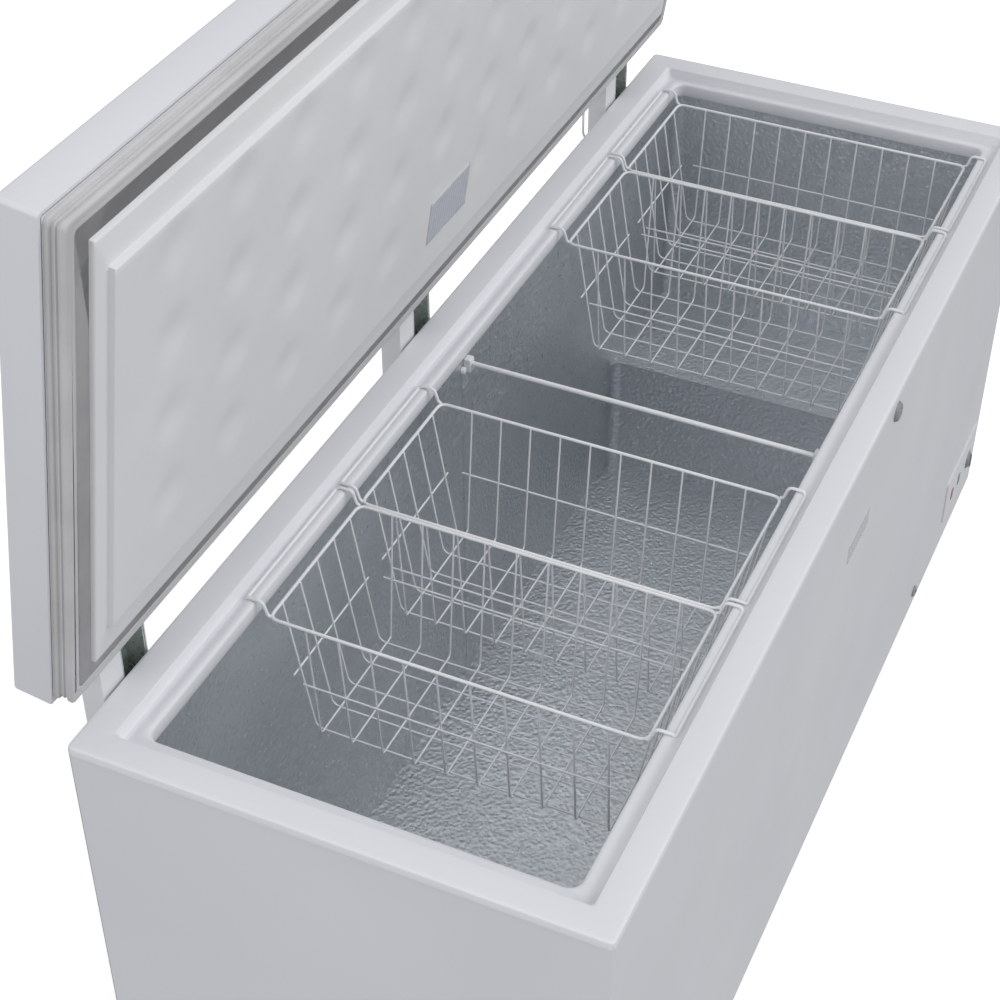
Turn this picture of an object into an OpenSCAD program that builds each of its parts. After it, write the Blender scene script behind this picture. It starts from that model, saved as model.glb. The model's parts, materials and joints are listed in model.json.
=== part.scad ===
// Chest freezer with one long hinged lid, four hanging wire baskets, and a machine bay at the right.
// Origin: on the floor under the centre of the cabinet. +X to the right, +Y to the back, +Z up.
// The lid is drawn standing open; the lid joint closes it.

/* [Cabinet] */
// Overall length of the cabinet at the collar
cabinet_length = 1970; // [1640:10:2370]
// Overall depth of the cabinet at the collar
cabinet_depth = 720; // [600:10:870]
// Height of the collar top above the floor
cabinet_height = 830; // [690:10:1000]
// Height of the panels' bottom edge above the floor
floor_gap = 45; // [40:1:60]
// Thickness of the steel panels
sheet = 1.2; // [0.8:0.1:2]
// Distance from the collar edge to the opening along the front and back
long_wall = 72; // [66:1:90]
// Distance from the collar edge to the opening at the two ends
end_wall = 66; // [62:1:90]
// Height of the liner floor above the panels' bottom edge
floor_wall = 73; // [60:1:110]
// Length of the raised floor over the machine bay, from the cabinet's right end
hump_length = 333; // [300:1:400]
// Height of the raised floor above the panels' bottom edge
hump_height = 310; // [290:5:340]
// Corner radius of the opening
opening_radius = 18; // [10:1:30]

/* [Collar] */
// Width of the flat outer band of the collar
band_width = 44; // [40:1:50]
// Depth of the groove inside the band
groove_depth = 18; // [12:1:24]
// Width of band and groove together
groove_end = 59.5; // [58:0.5:62]
// How far the collar's lip hangs down inside the opening
lip_drop = 38; // [30:1:50]

/* [Lid] */
// Thickness of the lid's outer steel shell
lid_thickness = 53; // [40:1:70]
// Height of the rubber gasket between lid and collar
gasket_height = 25.7; // [20:0.1:32]
// Angle between the closed lid and the lid as drawn
lid_open_angle = 81.74; // [60:0.01:95]
// How far the lid stands forward of the cabinet
lid_forward = 3; // [0:1:8]
// Depth of the liner's outer step below the lid's lower face
ledge_drop = 32; // [20:1:36]
// Depth of the liner's middle panel below the lid's lower face
plateau_drop = 41; // [30:1:48]

/* [Hinges] */
// Distance of the hinge axis behind the cabinet
pin_setback = 26; // [22:1:34]
// Height of the hinge axis above the collar
pin_rise = 37; // [32:1:48]
// Distance of the outer hinges from the middle one
hinge_spacing = 822; // [500:1:1000]
// Width of a hinge channel
hinge_width = 52; // [44:1:64]
// Radius of the hinge pins
pin_radius = 4; // [3:0.5:5]

/* [Baskets] */
// Distance from one hanging basket to the next
basket_pitch = 263.4; // [220:0.1:270]
// Height of a basket from rim to floor wires
basket_height = 221; // [160:1:260]
// Diameter of the rim wire
rim_wire = 5; // [4:0.5:6]
// Diameter of the thin wires
thin_wire = 3; // [2.5:0.1:4]
// Spacing of the thin wires
wire_spacing = 48; // [36:1:60]

/* [Controls] */
// Distance of the thermostat knob from the right end
knob_inset = 72; // [60:1:90]
// Radius of the thermostat knob
knob_radius = 17; // [14:1:20]
// Distance of the key lock from the middle of the front
lock_offset = 150; // [60:1:260]
// Distance of the drain from the right end
drain_inset = 418; // [380:1:480]

/* [Feet] */
// Distance of feet and rollers from the ends
foot_inset = 85; // [70:1:140]
// Radius of the rollers
roller_radius = 21.5; // [18:0.5:21.5]

/* [Hidden] */
$fn = 48;
half_x = cabinet_length / 2;
half_y = cabinet_depth / 2;
top_z = cabinet_height;
overhang = 2;
shell_x = half_x - overhang;
shell_y = half_y - overhang;
core_x = shell_x - sheet;
core_y = shell_y - sheet;
open_x = half_x - end_wall;
open_y = half_y - long_wall;
skirt_sheet = 2;
liner_x = open_x + skirt_sheet;
liner_y = open_y + skirt_sheet;
liner_sheet = 1.2;
liner_out_x = liner_x + liner_sheet;
liner_out_y = liner_y + liner_sheet;
liner_top = top_z - 26;
liner_floor = floor_gap + floor_wall;
hump_x = half_x - hump_length;
hump_z = floor_gap + hump_height;
base_z = floor_gap + 2;
base_top = base_z + sheet;
bay_x = hump_x + 48;
bay_top = hump_z - 55;
collar_sheet = 3;
groove_z = top_z - groove_depth;
lip_z = top_z - 14;
band_under = top_z - 4;
foam_step = groove_z - collar_sheet;

pin_y = half_y + pin_setback;
pin_z = top_z + pin_rise;
lid_z = top_z + gasket_height + 0.3;
lid_top = lid_z + lid_thickness;
lid_half_x = half_x - 1;
lid_half_y = half_y;
lid_mid_y = -lid_forward;
lid_back = lid_mid_y + lid_half_y;
lid_front = lid_mid_y - lid_half_y;
lid_skin = 1.5;
ledge_in = 49;
plateau_in_x = 74;
plateau_in_y = 95;
hinge_x = [-hinge_spacing, 0, hinge_spacing];
channel_sheet = 2;
channel_back = pin_y + 9;
channel_front = pin_y - 22;
channel_top = pin_z + 13;
channel_bottom = top_z - 170;
flange_top = top_z - 20;
screw_drops = [50, 95, 140];
leaf_gap = pin_y - lid_back;
leaf_sheet = 2;
cheek_x = 16;

coil_radius = 4;
coil_offset = coil_radius + 0.2;
skin_coil_radius = 3;
skin_coil_offset = skin_coil_radius + 0.2;
evaporator_top = top_z - 90;
evaporator_step = (evaporator_top - hump_z - 65) / 4;
condenser_levels = [top_z - 70, top_z - 175, top_z - 235, top_z - 295];

basket_free = open_x - 2 * basket_pitch;
first_basket = -open_x + basket_free * 0.68 + basket_pitch / 2;
last_basket = open_x - basket_free * 0.093 - basket_pitch / 2;
basket_x = [first_basket, first_basket + basket_pitch, last_basket - basket_pitch, last_basket];
rim_x = basket_pitch / 2 - rim_wire / 2 - 0.1;
rim_y = open_y - 19;
rim_z = top_z - 35.3;
floor_x = rim_x - 22;
floor_y = rim_y - 40;
floor_z = rim_z - basket_height;
hanger_y = half_y - 56.4;
hanger_z = groove_z + rim_wire / 2 + 0.3;
over_z = lip_z + rim_wire / 2 + 0.3;
drop_y = open_y - 10.5;

fascia_left = half_x - 240;
fascia_right = half_x - 23;
fascia_bottom = floor_gap + 60;
fascia_top = fascia_bottom + 95;
fascia_sheet = 3;
lamp_height = floor_gap + 100;
power_x = half_x - 142;
alarm_x = half_x - 192;
knob_x = half_x - knob_inset;
knob_z = floor_gap + 96;
spindle_radius = 3;
lock_z = top_z - 45;
barrel_radius = 6;
drain_x = half_x - drain_inset;
drain_z = floor_gap + 33;
drain_y = -open_y + 50;
drain_bore = 5;
drain_wall = 2;

foot_x = -half_x + foot_inset;
roller_x = half_x - foot_inset;
foot_y = half_y - 70;
stud_radius = 5;
axle_radius = 3.5;
wheel_half = 11;
run_gap = 0.05;

machine_x = bay_x + 142;
machine_y = 120;
machine_radius = 85;
machine_z = base_top + 24;
machine_height = 185;
grille_x = bay_x + 130;
grille_z = floor_gap + 140;
grille_half_x = 125;
grille_half_z = 118;
gland_x = half_x - 20;
gland_z = floor_gap + 24;
lead_x = hinge_spacing - 122;
lead_radius = 2.3;
lamp_x = -22.5;
lamp_half_x = 64;
lamp_mid = lid_back - 189;
lamp_half_y = 36;

// Flat outline of a box with rounded corners, given by its half sizes.
module outline(hx, hy, r) {
    square([2 * hx - 2 * r, 2 * hy], center = true);
    square([2 * hx, 2 * hy - 2 * r], center = true);
    for (sx = [-1, 1], sy = [-1, 1])
        translate([sx * (hx - r), sy * (hy - r)]) circle(r);
}

// Solid slab between two heights with rounded corners.
module slab(hx, hy, r, z0, z1) {
    translate([0, 0, z0]) linear_extrude(z1 - z0) outline(hx, hy, r);
}

// Frame between an outer and an inner rounded outline.
module band(hx, hy, r, in_x, in_y, in_r, z0, z1) {
    difference() {
        slab(hx, hy, r, z0, z1);
        slab(in_x, in_y, in_r, z0 - 1, z1 + 1);
    }
}

// Frame measured inwards from the lid's outer edge.
module lid_band(outer, inner, r, z0, z1) {
    translate([0, lid_mid_y, 0])
        band(lid_half_x - outer, lid_half_y - outer, r,
            lid_half_x - inner, lid_half_y - inner, r, z0, z1);
}

// Box given by its two opposite corners.
module block(x0, x1, y0, y1, z0, z1) {
    translate([x0, y0, z0]) cube([x1 - x0, y1 - y0, z1 - z0]);
}

// Rod along X, Y or Z between two positions.
module rod_x(x0, x1, y, z, r) {
    translate([x0, y, z]) rotate([0, 90, 0]) cylinder(h = x1 - x0, r = r);
}
module rod_y(x, y0, y1, z, r) {
    translate([x, y0, z]) rotate([-90, 0, 0]) cylinder(h = y1 - y0, r = r);
}
module rod_z(x, y, z0, z1, r) {
    translate([x, y, z0]) cylinder(h = z1 - z0, r = r);
}

// Turns the lid's parts from the closed position to the open one about the hinge pins.
module lid_pose() {
    translate([0, pin_y, pin_z]) rotate([-lid_open_angle, 0, 0])
        translate([0, -pin_y, -pin_z]) children();
}

// Round tube bent through a list of points, with ball corners.
module pipe(points, r) {
    for (i = [0 : len(points) - 2]) {
        step = points[i + 1] - points[i];
        span = norm(step);
        turn = atan2(step[1], step[0]);
        tilt = acos(step[2] / span);
        translate(points[i]) rotate([0, tilt, turn]) cylinder(h = span, r = r);
    }
    if (len(points) > 2) for (i = [1 : len(points) - 2]) translate(points[i]) sphere(r);
}

// Bent strand of square wire: down one side, across the floor and up the other side.
module strand(low_half, low, high_half, high, d) {
    r = d / 2;
    rotate([90, 0, 0]) translate([0, 0, -r]) linear_extrude(d) polygon([
        [-high_half - r, high], [-low_half - r, low - r], [low_half + r, low - r],
        [high_half + r, high], [high_half - r, high], [low_half - r, low + r],
        [-low_half + r, low + r], [-high_half + r, high]]);
}

// Closed loop of tube with rounded corners.
module coil_loop(hx, hy, bend, z, r) {
    for (s = [-1, 1]) {
        rod_x(-hx + bend, hx - bend, s * hy, z, r);
        rod_y(s * hx, -hy + bend, hy - bend, z, r);
    }
    for (i = [0 : 3]) {
        sx = (i == 0 || i == 3) ? 1 : -1;
        sy = i < 2 ? 1 : -1;
        translate([sx * (hx - bend), sy * (hy - bend), z]) rotate([0, 0, i * 90])
            rotate_extrude(angle = 90) translate([bend, 0]) circle(r);
    }
}

// Square tunnel the foam leaves around a coil loop.
module coil_tunnel(hx, hy, bend, z, r) {
    room = r + 0.2;
    band(hx + room, hy + room, bend + room, hx - room, hy - room, bend - room,
        z - room, z + room);
}

module every_hinge() {
    for (x = hinge_x) translate([x, 0, 0]) children();
}

// Shanks of the screws that hold hinge brackets and grille.
module cabinet_shanks() {
    every_hinge() for (s = [-1, 1], drop = screw_drops)
        rod_y(s * (hinge_width / 2 + 12), shell_y - 13, shell_y + 2, top_z - drop, 2.4);
    for (sx = [-1, 1], sz = [-1, 1])
        rod_y(grille_x + sx * (grille_half_x - 7), shell_y - 10, shell_y + 3,
            grille_z + sz * (grille_half_z - 7), 1.8);
}

// Shanks of the screws that hold the hinge leaves and the handle.
module lid_shanks() {
    every_hinge() for (s = [-1, 1], rise = [22, 41])
        rod_y(s * 10, lid_back - 17, lid_back + leaf_sheet, lid_z + rise, 2);
    for (s = [-1, 1])
        rod_y(s * 86, lid_front - 6, lid_front + 16, lid_z + 22, 2.2);
}

module front_panel() {
    color("white") difference() {
        block(-shell_x, shell_x, -shell_y, -core_y, floor_gap, band_under);
        rod_y(knob_x, -half_y, -core_y + 1, knob_z, 5);
        rod_y(lock_offset, -half_y, -core_y + 1, lock_z, 8.5);
        rod_y(drain_x, -half_y, -core_y + 1, drain_z, drain_bore + drain_wall);
        for (x = [power_x, alarm_x])
            block(x - 5, x + 5, -half_y, -core_y + 1, lamp_height - 10, lamp_height + 10);
    }
}

module left_side_panel() {
    color("white") block(-shell_x, -core_x, -core_y, core_y, floor_gap, band_under);
}

module right_side_panel() {
    color("white") block(core_x, shell_x, -core_y, core_y, floor_gap, band_under);
}

module back_panel() {
    color("silver") difference() {
        block(-shell_x, shell_x, core_y, shell_y, floor_gap, band_under);
        block(grille_x - grille_half_x + 14, grille_x + grille_half_x - 14,
            core_y - 1, half_y, grille_z - grille_half_z + 14, grille_z + grille_half_z - 14);
        rod_y(gland_x, core_y - 1, half_y, gland_z, 7);
        rod_y(lead_x, core_y - 1, half_y, top_z - 40, lead_radius);
        cabinet_shanks();
    }
}

module base_plate() {
    color("silver") difference() {
        union() {
            block(-core_x, core_x, -core_y, core_y, base_z, base_top);
            for (s = [-1, 1]) rod_z(foot_x, s * foot_y, base_z - 14, base_top, 11);
        }
        for (s = [-1, 1]) rod_z(foot_x, s * foot_y, 0, base_top + 1, stud_radius + run_gap);
        for (i = [0 : 5])
            block(bay_x + 30 + i * 36, bay_x + 44 + i * 36, -core_y + 90, -core_y + 200,
                base_z - 1, base_top + 1);
    }
}

module cabinet_foam() {
    color("khaki") difference() {
        union() {
            block(-core_x, core_x, -core_y, core_y, base_top, foam_step);
            band(core_x, core_y, 2, half_x - band_width + 3, half_y - band_width + 3, 4,
                foam_step - 1, band_under);
        }
        slab(liner_out_x, liner_out_y, opening_radius + 1, hump_z - liner_sheet, top_z);
        deep_slab(liner_sheet, liner_floor - liner_sheet, hump_z);
        block(bay_x - sheet, half_x, -half_y, half_y, 0, bay_top + sheet);
        for (i = [0 : 4])
            coil_tunnel(liner_out_x + coil_offset, liner_out_y + coil_offset,
                opening_radius + 5, evaporator_top - i * evaporator_step, coil_radius);
        for (z = condenser_levels)
            coil_tunnel(core_x - skin_coil_offset, core_y - skin_coil_offset, 12, z,
                skin_coil_radius);
        for (s = [-1, 1]) rod_z(foot_x, s * foot_y, 0, base_top + 14, stud_radius + 3);
        rod_y(lock_offset, -half_y, -core_y + 20, lock_z, 10);
        drain_path(drain_bore + drain_wall);
        rod_y(lead_x, core_y - 6, half_y, top_z - 40, lead_radius);
        cabinet_shanks();
    }
}

// Space of the liner's deep left part, grown by a margin.
module deep_slab(margin, z0, z1) {
    translate([(hump_x - liner_x) / 2, 0, 0])
        slab((hump_x + liner_x) / 2 + margin, liner_y + margin, opening_radius + 1, z0, z1);
}

module inner_liner() {
    color("lightsteelblue") difference() {
        union() {
            slab(liner_out_x, liner_out_y, opening_radius + 1,
                hump_z - liner_sheet, liner_top);
            deep_slab(liner_sheet, liner_floor - liner_sheet, hump_z);
        }
        slab(liner_x, liner_y, opening_radius, hump_z, top_z);
        deep_slab(0, liner_floor, hump_z + 1);
        rod_z(drain_x, drain_y, liner_floor - 3, liner_floor + 1, drain_bore);
    }
}

module top_collar() {
    color("white") union() {
        band(half_x, half_y, 8, half_x - band_width, half_y - band_width, 6, band_under, top_z);
        band(half_x, half_y, 8, shell_x, shell_y, 0.5, top_z - 12, top_z);
        band(half_x - band_width + 3, half_y - band_width + 3, 6,
            half_x - band_width, half_y - band_width, 6, foam_step, top_z);
        band(half_x - band_width + 3, half_y - band_width + 3, 6,
            half_x - groove_end, half_y - groove_end, 6, foam_step, groove_z);
        band(half_x - groove_end, half_y - groove_end, 6, half_x - groove_end - 3,
            half_y - groove_end - 3, 6, foam_step, lip_z);
        band(half_x - groove_end, half_y - groove_end, 6, open_x, open_y, opening_radius,
            lip_z - collar_sheet, lip_z);
        band(open_x + skirt_sheet, open_y + skirt_sheet, opening_radius,
            open_x, open_y, opening_radius, top_z - lip_drop, lip_z);
    }
}

module evaporator_coil() {
    color("peru") for (i = [0 : 4])
        coil_loop(liner_out_x + coil_offset, liner_out_y + coil_offset, opening_radius + 5,
            evaporator_top - i * evaporator_step, coil_radius);
}

module condenser_coil() {
    color("dimgray") for (z = condenser_levels)
        coil_loop(core_x - skin_coil_offset, core_y - skin_coil_offset, 12, z,
            skin_coil_radius);
}

module machine_bay_shell() {
    color("silver") union() {
        block(bay_x - sheet, bay_x, -core_y, core_y, base_top, bay_top + sheet);
        block(bay_x - sheet, core_x, -core_y, core_y, bay_top, bay_top + sheet);
    }
}

module compressor() {
    color("black") union() {
        translate([machine_x, machine_y, machine_z + machine_height / 2]) rotate_extrude()
            intersection() {
                outline(machine_radius, machine_height / 2, 34);
                translate([0, -machine_height])
                    square([2 * machine_radius, 2 * machine_height]);
            }
        rod_z(machine_x, machine_y, machine_z + 88, machine_z + 94, machine_radius + 3);
        block(machine_x - 95, machine_x + 95, machine_y - 60, machine_y + 60,
            machine_z - 3, machine_z + 1);
        rod_x(machine_x - machine_radius - 22, machine_x - 60, machine_y,
            machine_z + 60, 4);
        rod_y(machine_x, machine_y + 60, machine_y + machine_radius + 20, machine_z + 70, 4);
    }
}

module compressor_tray() {
    color("silver") block(bay_x + 12, bay_x + 270, machine_y - 130, machine_y + 130,
        base_top, base_top + 2);
}

module compressor_grommets() {
    color("dimgray") for (sx = [-1, 1], sy = [-1, 1])
        rod_z(machine_x + sx * 80, machine_y + sy * 46, base_top + 2, machine_z - 3, 11);
}

module starter_box() {
    color("black") difference() {
        block(machine_x - 28, machine_x + 28, machine_y - machine_radius - 36,
            machine_y - machine_radius + 12, machine_z + 30, machine_z + 88);
        rod_z(machine_x, machine_y, machine_z, machine_z + 100, machine_radius);
    }
}

module filter_drier() {
    color("peru") union() {
        rod_y(bay_x + 34, -140, -40, base_top + 70, 10);
        rod_y(bay_x + 34, -152, -28, base_top + 70, 5);
    }
}

module refrigerant_pipes() {
    start_x = machine_x - machine_radius - 22;
    drier_x = bay_x + 34;
    pipe_z = machine_z + 60;
    color("peru") {
        pipe([[start_x, machine_y, pipe_z], [start_x - 20, machine_y, pipe_z],
            [start_x - 20, machine_y, bay_top - 30], [start_x - 20, 20, bay_top - 30],
            [start_x - 20, 20, bay_top]], 3);
        pipe([[drier_x, -152, base_top + 70], [drier_x, -200, base_top + 70],
            [drier_x, -200, bay_top - 50], [bay_x, -200, bay_top - 50]], 3);
        pipe([[machine_x, machine_y + machine_radius + 20, machine_z + 70],
            [machine_x, machine_y + machine_radius + 60, machine_z + 70],
            [machine_x, machine_y + machine_radius + 60, bay_top]], 3);
        pipe([[drier_x, -28, base_top + 70], [drier_x, 40, base_top + 70],
            [bay_x, 40, base_top + 70]], 3);
    }
}

module compartment_grille() {
    color("dimgray") difference() {
        translate([grille_x, shell_y + 3, grille_z]) rotate([90, 0, 0])
            slab(grille_half_x, grille_half_z, 8, 0, 3);
        for (i = [-4 : 4])
            block(grille_x - 98, grille_x + 98, shell_y - 1, shell_y + 5,
                grille_z + i * 22 - 5, grille_z + i * 22 + 5);
        cabinet_shanks();
    }
}

module control_fascia() {
    mid_x = (fascia_left + fascia_right) / 2;
    mid_z = (fascia_bottom + fascia_top) / 2;
    color("white") difference() {
        translate([mid_x, -shell_y, mid_z]) rotate([90, 0, 0])
            slab((fascia_right - fascia_left) / 2, (fascia_top - fascia_bottom) / 2,
                7, 0, fascia_sheet);
        rod_y(knob_x, -half_y - 5, -shell_y + 1, knob_z, knob_radius + 1);
        for (x = [power_x, alarm_x])
            block(x - 6, x + 6, -half_y - 5, -half_y + 5, lamp_height - 11,
                lamp_height + 11);
    }
}

module thermostat() {
    color("gray") difference() {
        block(knob_x - 24, knob_x + 24, -core_y, -core_y + 32, knob_z - 26, knob_z + 26);
        rod_y(knob_x, -core_y - 1, -core_y + 16, knob_z, spindle_radius + run_gap);
    }
}

// Small rectangular window with a stem through the panel.
module light_lens(x) {
    block(x - 6, x + 6, -shell_y - fascia_sheet - 1, -shell_y, lamp_height - 11,
        lamp_height + 11);
    block(x - 5, x + 5, -shell_y - 1, -core_y + 8, lamp_height - 10, lamp_height + 10);
}

module power_light_lens() {
    color("green") light_lens(power_x);
}

module alarm_light_lens() {
    color("red") light_lens(alarm_x);
}

module lock_housing() {
    color("gray") difference() {
        union() {
            rod_y(lock_offset, -shell_y - 6, -shell_y, lock_z, 17);
            rod_y(lock_offset, -shell_y - 1, -core_y + 18, lock_z, 8.5);
        }
        rod_y(lock_offset, -shell_y - 7, -core_y + 16, lock_z, barrel_radius + run_gap);
    }
}

// Path of the defrost drain from the liner floor to the front panel.
module drain_path(r) {
    rod_z(drain_x, drain_y, drain_z, liner_floor - liner_sheet, r);
    rod_y(drain_x, -shell_y, drain_y, drain_z, r);
    translate([drain_x, drain_y, drain_z]) sphere(r);
}

module drain_tube() {
    color("white") difference() {
        drain_path(drain_bore + drain_wall);
        rod_z(drain_x, drain_y, drain_z, liner_floor, drain_bore);
        rod_y(drain_x, -half_y, drain_y, drain_z, drain_bore);
        translate([drain_x, drain_y, drain_z]) sphere(drain_bore);
    }
}

module badge_plate() {
    color("silver") block(-52, 52, -shell_y - 0.8, -shell_y, top_z - 190, top_z - 155);
}

module mains_cable_gland() {
    color("black") difference() {
        union() {
            rod_y(gland_x, core_y - 6, shell_y + 8, gland_z, 7);
            rod_y(gland_x, shell_y, shell_y + 3, gland_z, 10);
            rod_y(gland_x, core_y - 6, core_y, gland_z, 9);
        }
        rod_y(gland_x, core_y - 8, shell_y + 9, gland_z, 4);
    }
}

module tie_rod() {
    color("white") rod_y(0, -open_y + 12, open_y - 12, top_z - 48, 3.8);
}

module tie_rod_clips() {
    color("white") for (s = [-1, 1]) {
        mirror([0, s > 0 ? 0 : 1, 0]) {
            block(-8, 8, open_y - 12, open_y, top_z - 64, top_z - 30);
            block(-8, 8, open_y - 2, liner_y, top_z - 64, top_z - lip_drop - 0.2);
        }
    }
}

// Fixed zinc channel of one hinge, open to the front, with two screw flanges.
module hinge_bracket() {
    color("silver") difference() {
        union() {
            block(-hinge_width / 2, hinge_width / 2, channel_back - channel_sheet,
                channel_back, channel_bottom, channel_top - 6);
            for (s = [-1, 1]) {
                outer = s * hinge_width / 2;
                inner = outer - s * channel_sheet;
                block(min(outer, inner), max(outer, inner), shell_y, channel_back,
                    channel_bottom, flange_top);
                translate([min(outer, inner), (channel_front + channel_back) / 2,
                    channel_top - 40]) rotate([90, 0, 90])
                    slab((channel_back - channel_front) / 2, 40, 9, 0, channel_sheet);
                block(min(outer, outer + s * 24), max(outer, outer + s * 24), shell_y,
                    shell_y + 2, channel_bottom, flange_top);
            }
            for (s = [-1, 1])
                block(s * 9 - 1.5, s * 9 + 1.5, channel_back - channel_sheet - 0.6,
                    channel_back - 1, channel_bottom + 10, pin_z - 14);
        }
        rod_x(-hinge_width, hinge_width, pin_y, pin_z, pin_radius);
        for (s = [-1, 1], drop = screw_drops)
            rod_y(s * (hinge_width / 2 + 12), shell_y - 1, shell_y + 3, top_z - drop, 2.4);
    }
}

module hinge_bracket_left() {
    translate([hinge_x[0], 0, 0]) hinge_bracket();
}

module hinge_bracket_middle() {
    translate([hinge_x[1], 0, 0]) hinge_bracket();
}

module hinge_bracket_right() {
    translate([hinge_x[2], 0, 0]) hinge_bracket();
}

module hinge_pins() {
    color("gainsboro") every_hinge() {
        rod_x(-hinge_width / 2, hinge_width / 2, pin_y, pin_z, pin_radius);
        for (s = [-1, 1])
            rod_x(s * (hinge_width / 2 + 0.9) - 0.9, s * (hinge_width / 2 + 0.9) + 0.9,
                pin_y, pin_z, pin_radius + 2);
    }
}

// White plastic housing around each hinge channel, wider on its left side.
module hinge_covers() {
    left = -hinge_width / 2 - 46;
    right = hinge_width / 2 + 4.2;
    front = channel_front;
    back = channel_back + 2;
    bottom = channel_bottom + 30;
    color("white") every_hinge() {
        block(left, -hinge_width / 2 - 0.3, front, front + 2, bottom, channel_top);
        block(hinge_width / 2 + 2, right, front, front + 2, bottom, channel_top);
        block(left, left + 2, front, back, bottom, channel_top);
        block(right - 2, right, front, back, bottom, channel_top);
        block(left, right, back - 2, back, bottom, channel_top);
        block(left, -hinge_width / 2 - 2.2, front, back, channel_top - 2, channel_top);
    }
}

module hinge_springs() {
    color("gray") every_hinge() for (i = [-5 : 5])
        translate([i * 2.4, pin_y, pin_z]) rotate([0, 90, 0])
            rotate_extrude() translate([5.3, 0]) circle(1.25);
}

module cabinet_screws() {
    color("gainsboro") {
        cabinet_shanks();
        every_hinge() for (s = [-1, 1], drop = screw_drops)
            rod_y(s * (hinge_width / 2 + 12), shell_y + 2, shell_y + 4.6, top_z - drop, 5);
        for (sx = [-1, 1], sz = [-1, 1])
            rod_y(grille_x + sx * (grille_half_x - 7), shell_y + 3, shell_y + 5,
                grille_z + sz * (grille_half_z - 7), 4);
    }
}

module lamp_lead_lower() {
    color("white") pipe([[lead_x, core_y - 6, top_z - 40], [lead_x, pin_y, top_z - 40],
        [lead_x, pin_y, pin_z - 2.6]], lead_radius);
}

module roller_brackets() {
    color("silver") for (s = [-1, 1]) difference() {
        union() {
            block(roller_x - 20, roller_x + 20, s * foot_y - 17, s * foot_y + 17,
                floor_gap, base_z);
            for (e = [-1, 1])
                block(roller_x - 12, roller_x + 12, s * foot_y + e * 15.5 - 1.5,
                    s * foot_y + e * 15.5 + 1.5, 12, base_z);
        }
        rod_y(roller_x, s * foot_y - 30, s * foot_y + 30, roller_radius, axle_radius);
    }
}

module roller_axles() {
    color("gainsboro") for (s = [-1, 1])
        rod_y(roller_x, s * foot_y - 18, s * foot_y + 18, roller_radius, axle_radius);
}

module thermostat_knob() {
    color("gainsboro") difference() {
        union() {
            rod_y(knob_x, -shell_y - 8, -shell_y - 0.3, knob_z, knob_radius);
            rod_y(knob_x, -shell_y - 1, -core_y + 12, knob_z, spindle_radius);
        }
        block(knob_x - 1.5, knob_x + 1.5, -shell_y - 9, -shell_y - 6, knob_z - 12,
            knob_z + 12);
    }
}

module lock_barrel() {
    color("silver") difference() {
        rod_y(lock_offset, -shell_y - 7, -core_y + 15, lock_z, barrel_radius);
        block(lock_offset - 1, lock_offset + 1, -shell_y - 8, -shell_y + 2, lock_z - 4,
            lock_z + 4);
    }
}

module drain_cap() {
    color("white") union() {
        rod_y(drain_x, -shell_y - 4, -shell_y - 0.3, drain_z, drain_bore + 6);
        rod_y(drain_x, -shell_y - 1, -core_y + 12, drain_z, drain_bore - run_gap);
    }
}

// One levelling foot: sole, hexagon and threaded stud drawn plain.
module levelling_foot() {
    color("dimgray") union() {
        rod_z(0, 0, 0, 8, 22);
        translate([0, 0, 8]) cylinder(h = 7, r = 10, $fn = 6);
        rod_z(0, 0, 14, base_top + 11, stud_radius);
    }
}

module levelling_foot_front() {
    translate([foot_x, -foot_y, 0]) levelling_foot();
}

module levelling_foot_rear() {
    translate([foot_x, foot_y, 0]) levelling_foot();
}

// One roller wheel with a shallow groove around its middle.
module roller_wheel() {
    color("dimgray") difference() {
        rod_y(0, -wheel_half, wheel_half, 0, roller_radius);
        rod_y(0, -wheel_half - 1, wheel_half + 1, 0, axle_radius + run_gap);
        difference() {
            rod_y(0, -1.5, 1.5, 0, roller_radius + 1);
            rod_y(0, -2, 2, 0, roller_radius - 1);
        }
    }
}

module roller_wheel_front() {
    translate([roller_x, -foot_y, roller_radius]) roller_wheel();
}

module roller_wheel_rear() {
    translate([roller_x, foot_y, roller_radius]) roller_wheel();
}

module lid_outer_panel() {
    color("white") lid_pose() difference() {
        union() {
            lid_band(0, sheet, 5, lid_z, lid_top);
            lid_band(0, 4.5, 5, lid_z, lid_z + sheet);
            translate([0, lid_mid_y, 0])
                slab(lid_half_x, lid_half_y, 5, lid_top - sheet, lid_top);
        }
        lid_shanks();
        rod_y(lead_x, lid_back - 3, lid_back + 1, pin_z, lead_radius);
    }
}

module lid_foam() {
    color("khaki") lid_pose() difference() {
        union() {
            translate([0, lid_mid_y, 0]) {
                slab(lid_half_x - sheet, lid_half_y - sheet, 5, lid_z + lid_skin,
                    lid_top - sheet);
                slab(lid_half_x - ledge_in - lid_skin, lid_half_y - ledge_in - lid_skin, 5,
                    lid_z - ledge_drop + lid_skin, lid_z + lid_skin + 1);
                slab(lid_half_x - plateau_in_x - lid_skin, lid_half_y - plateau_in_y - lid_skin,
                    5, lid_z - plateau_drop + lid_skin, lid_z - 10);
            }
        }
        block(lamp_x - lamp_half_x - 2, lamp_x + lamp_half_x + 2, lamp_mid - lamp_half_y - 2,
            lamp_mid + lamp_half_y + 2, lid_z - plateau_drop - 1, lid_z - 16);
        lid_shanks();
        rod_y(lead_x, lid_back - 14, lid_back + 1, pin_z, lead_radius);
    }
}

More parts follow.
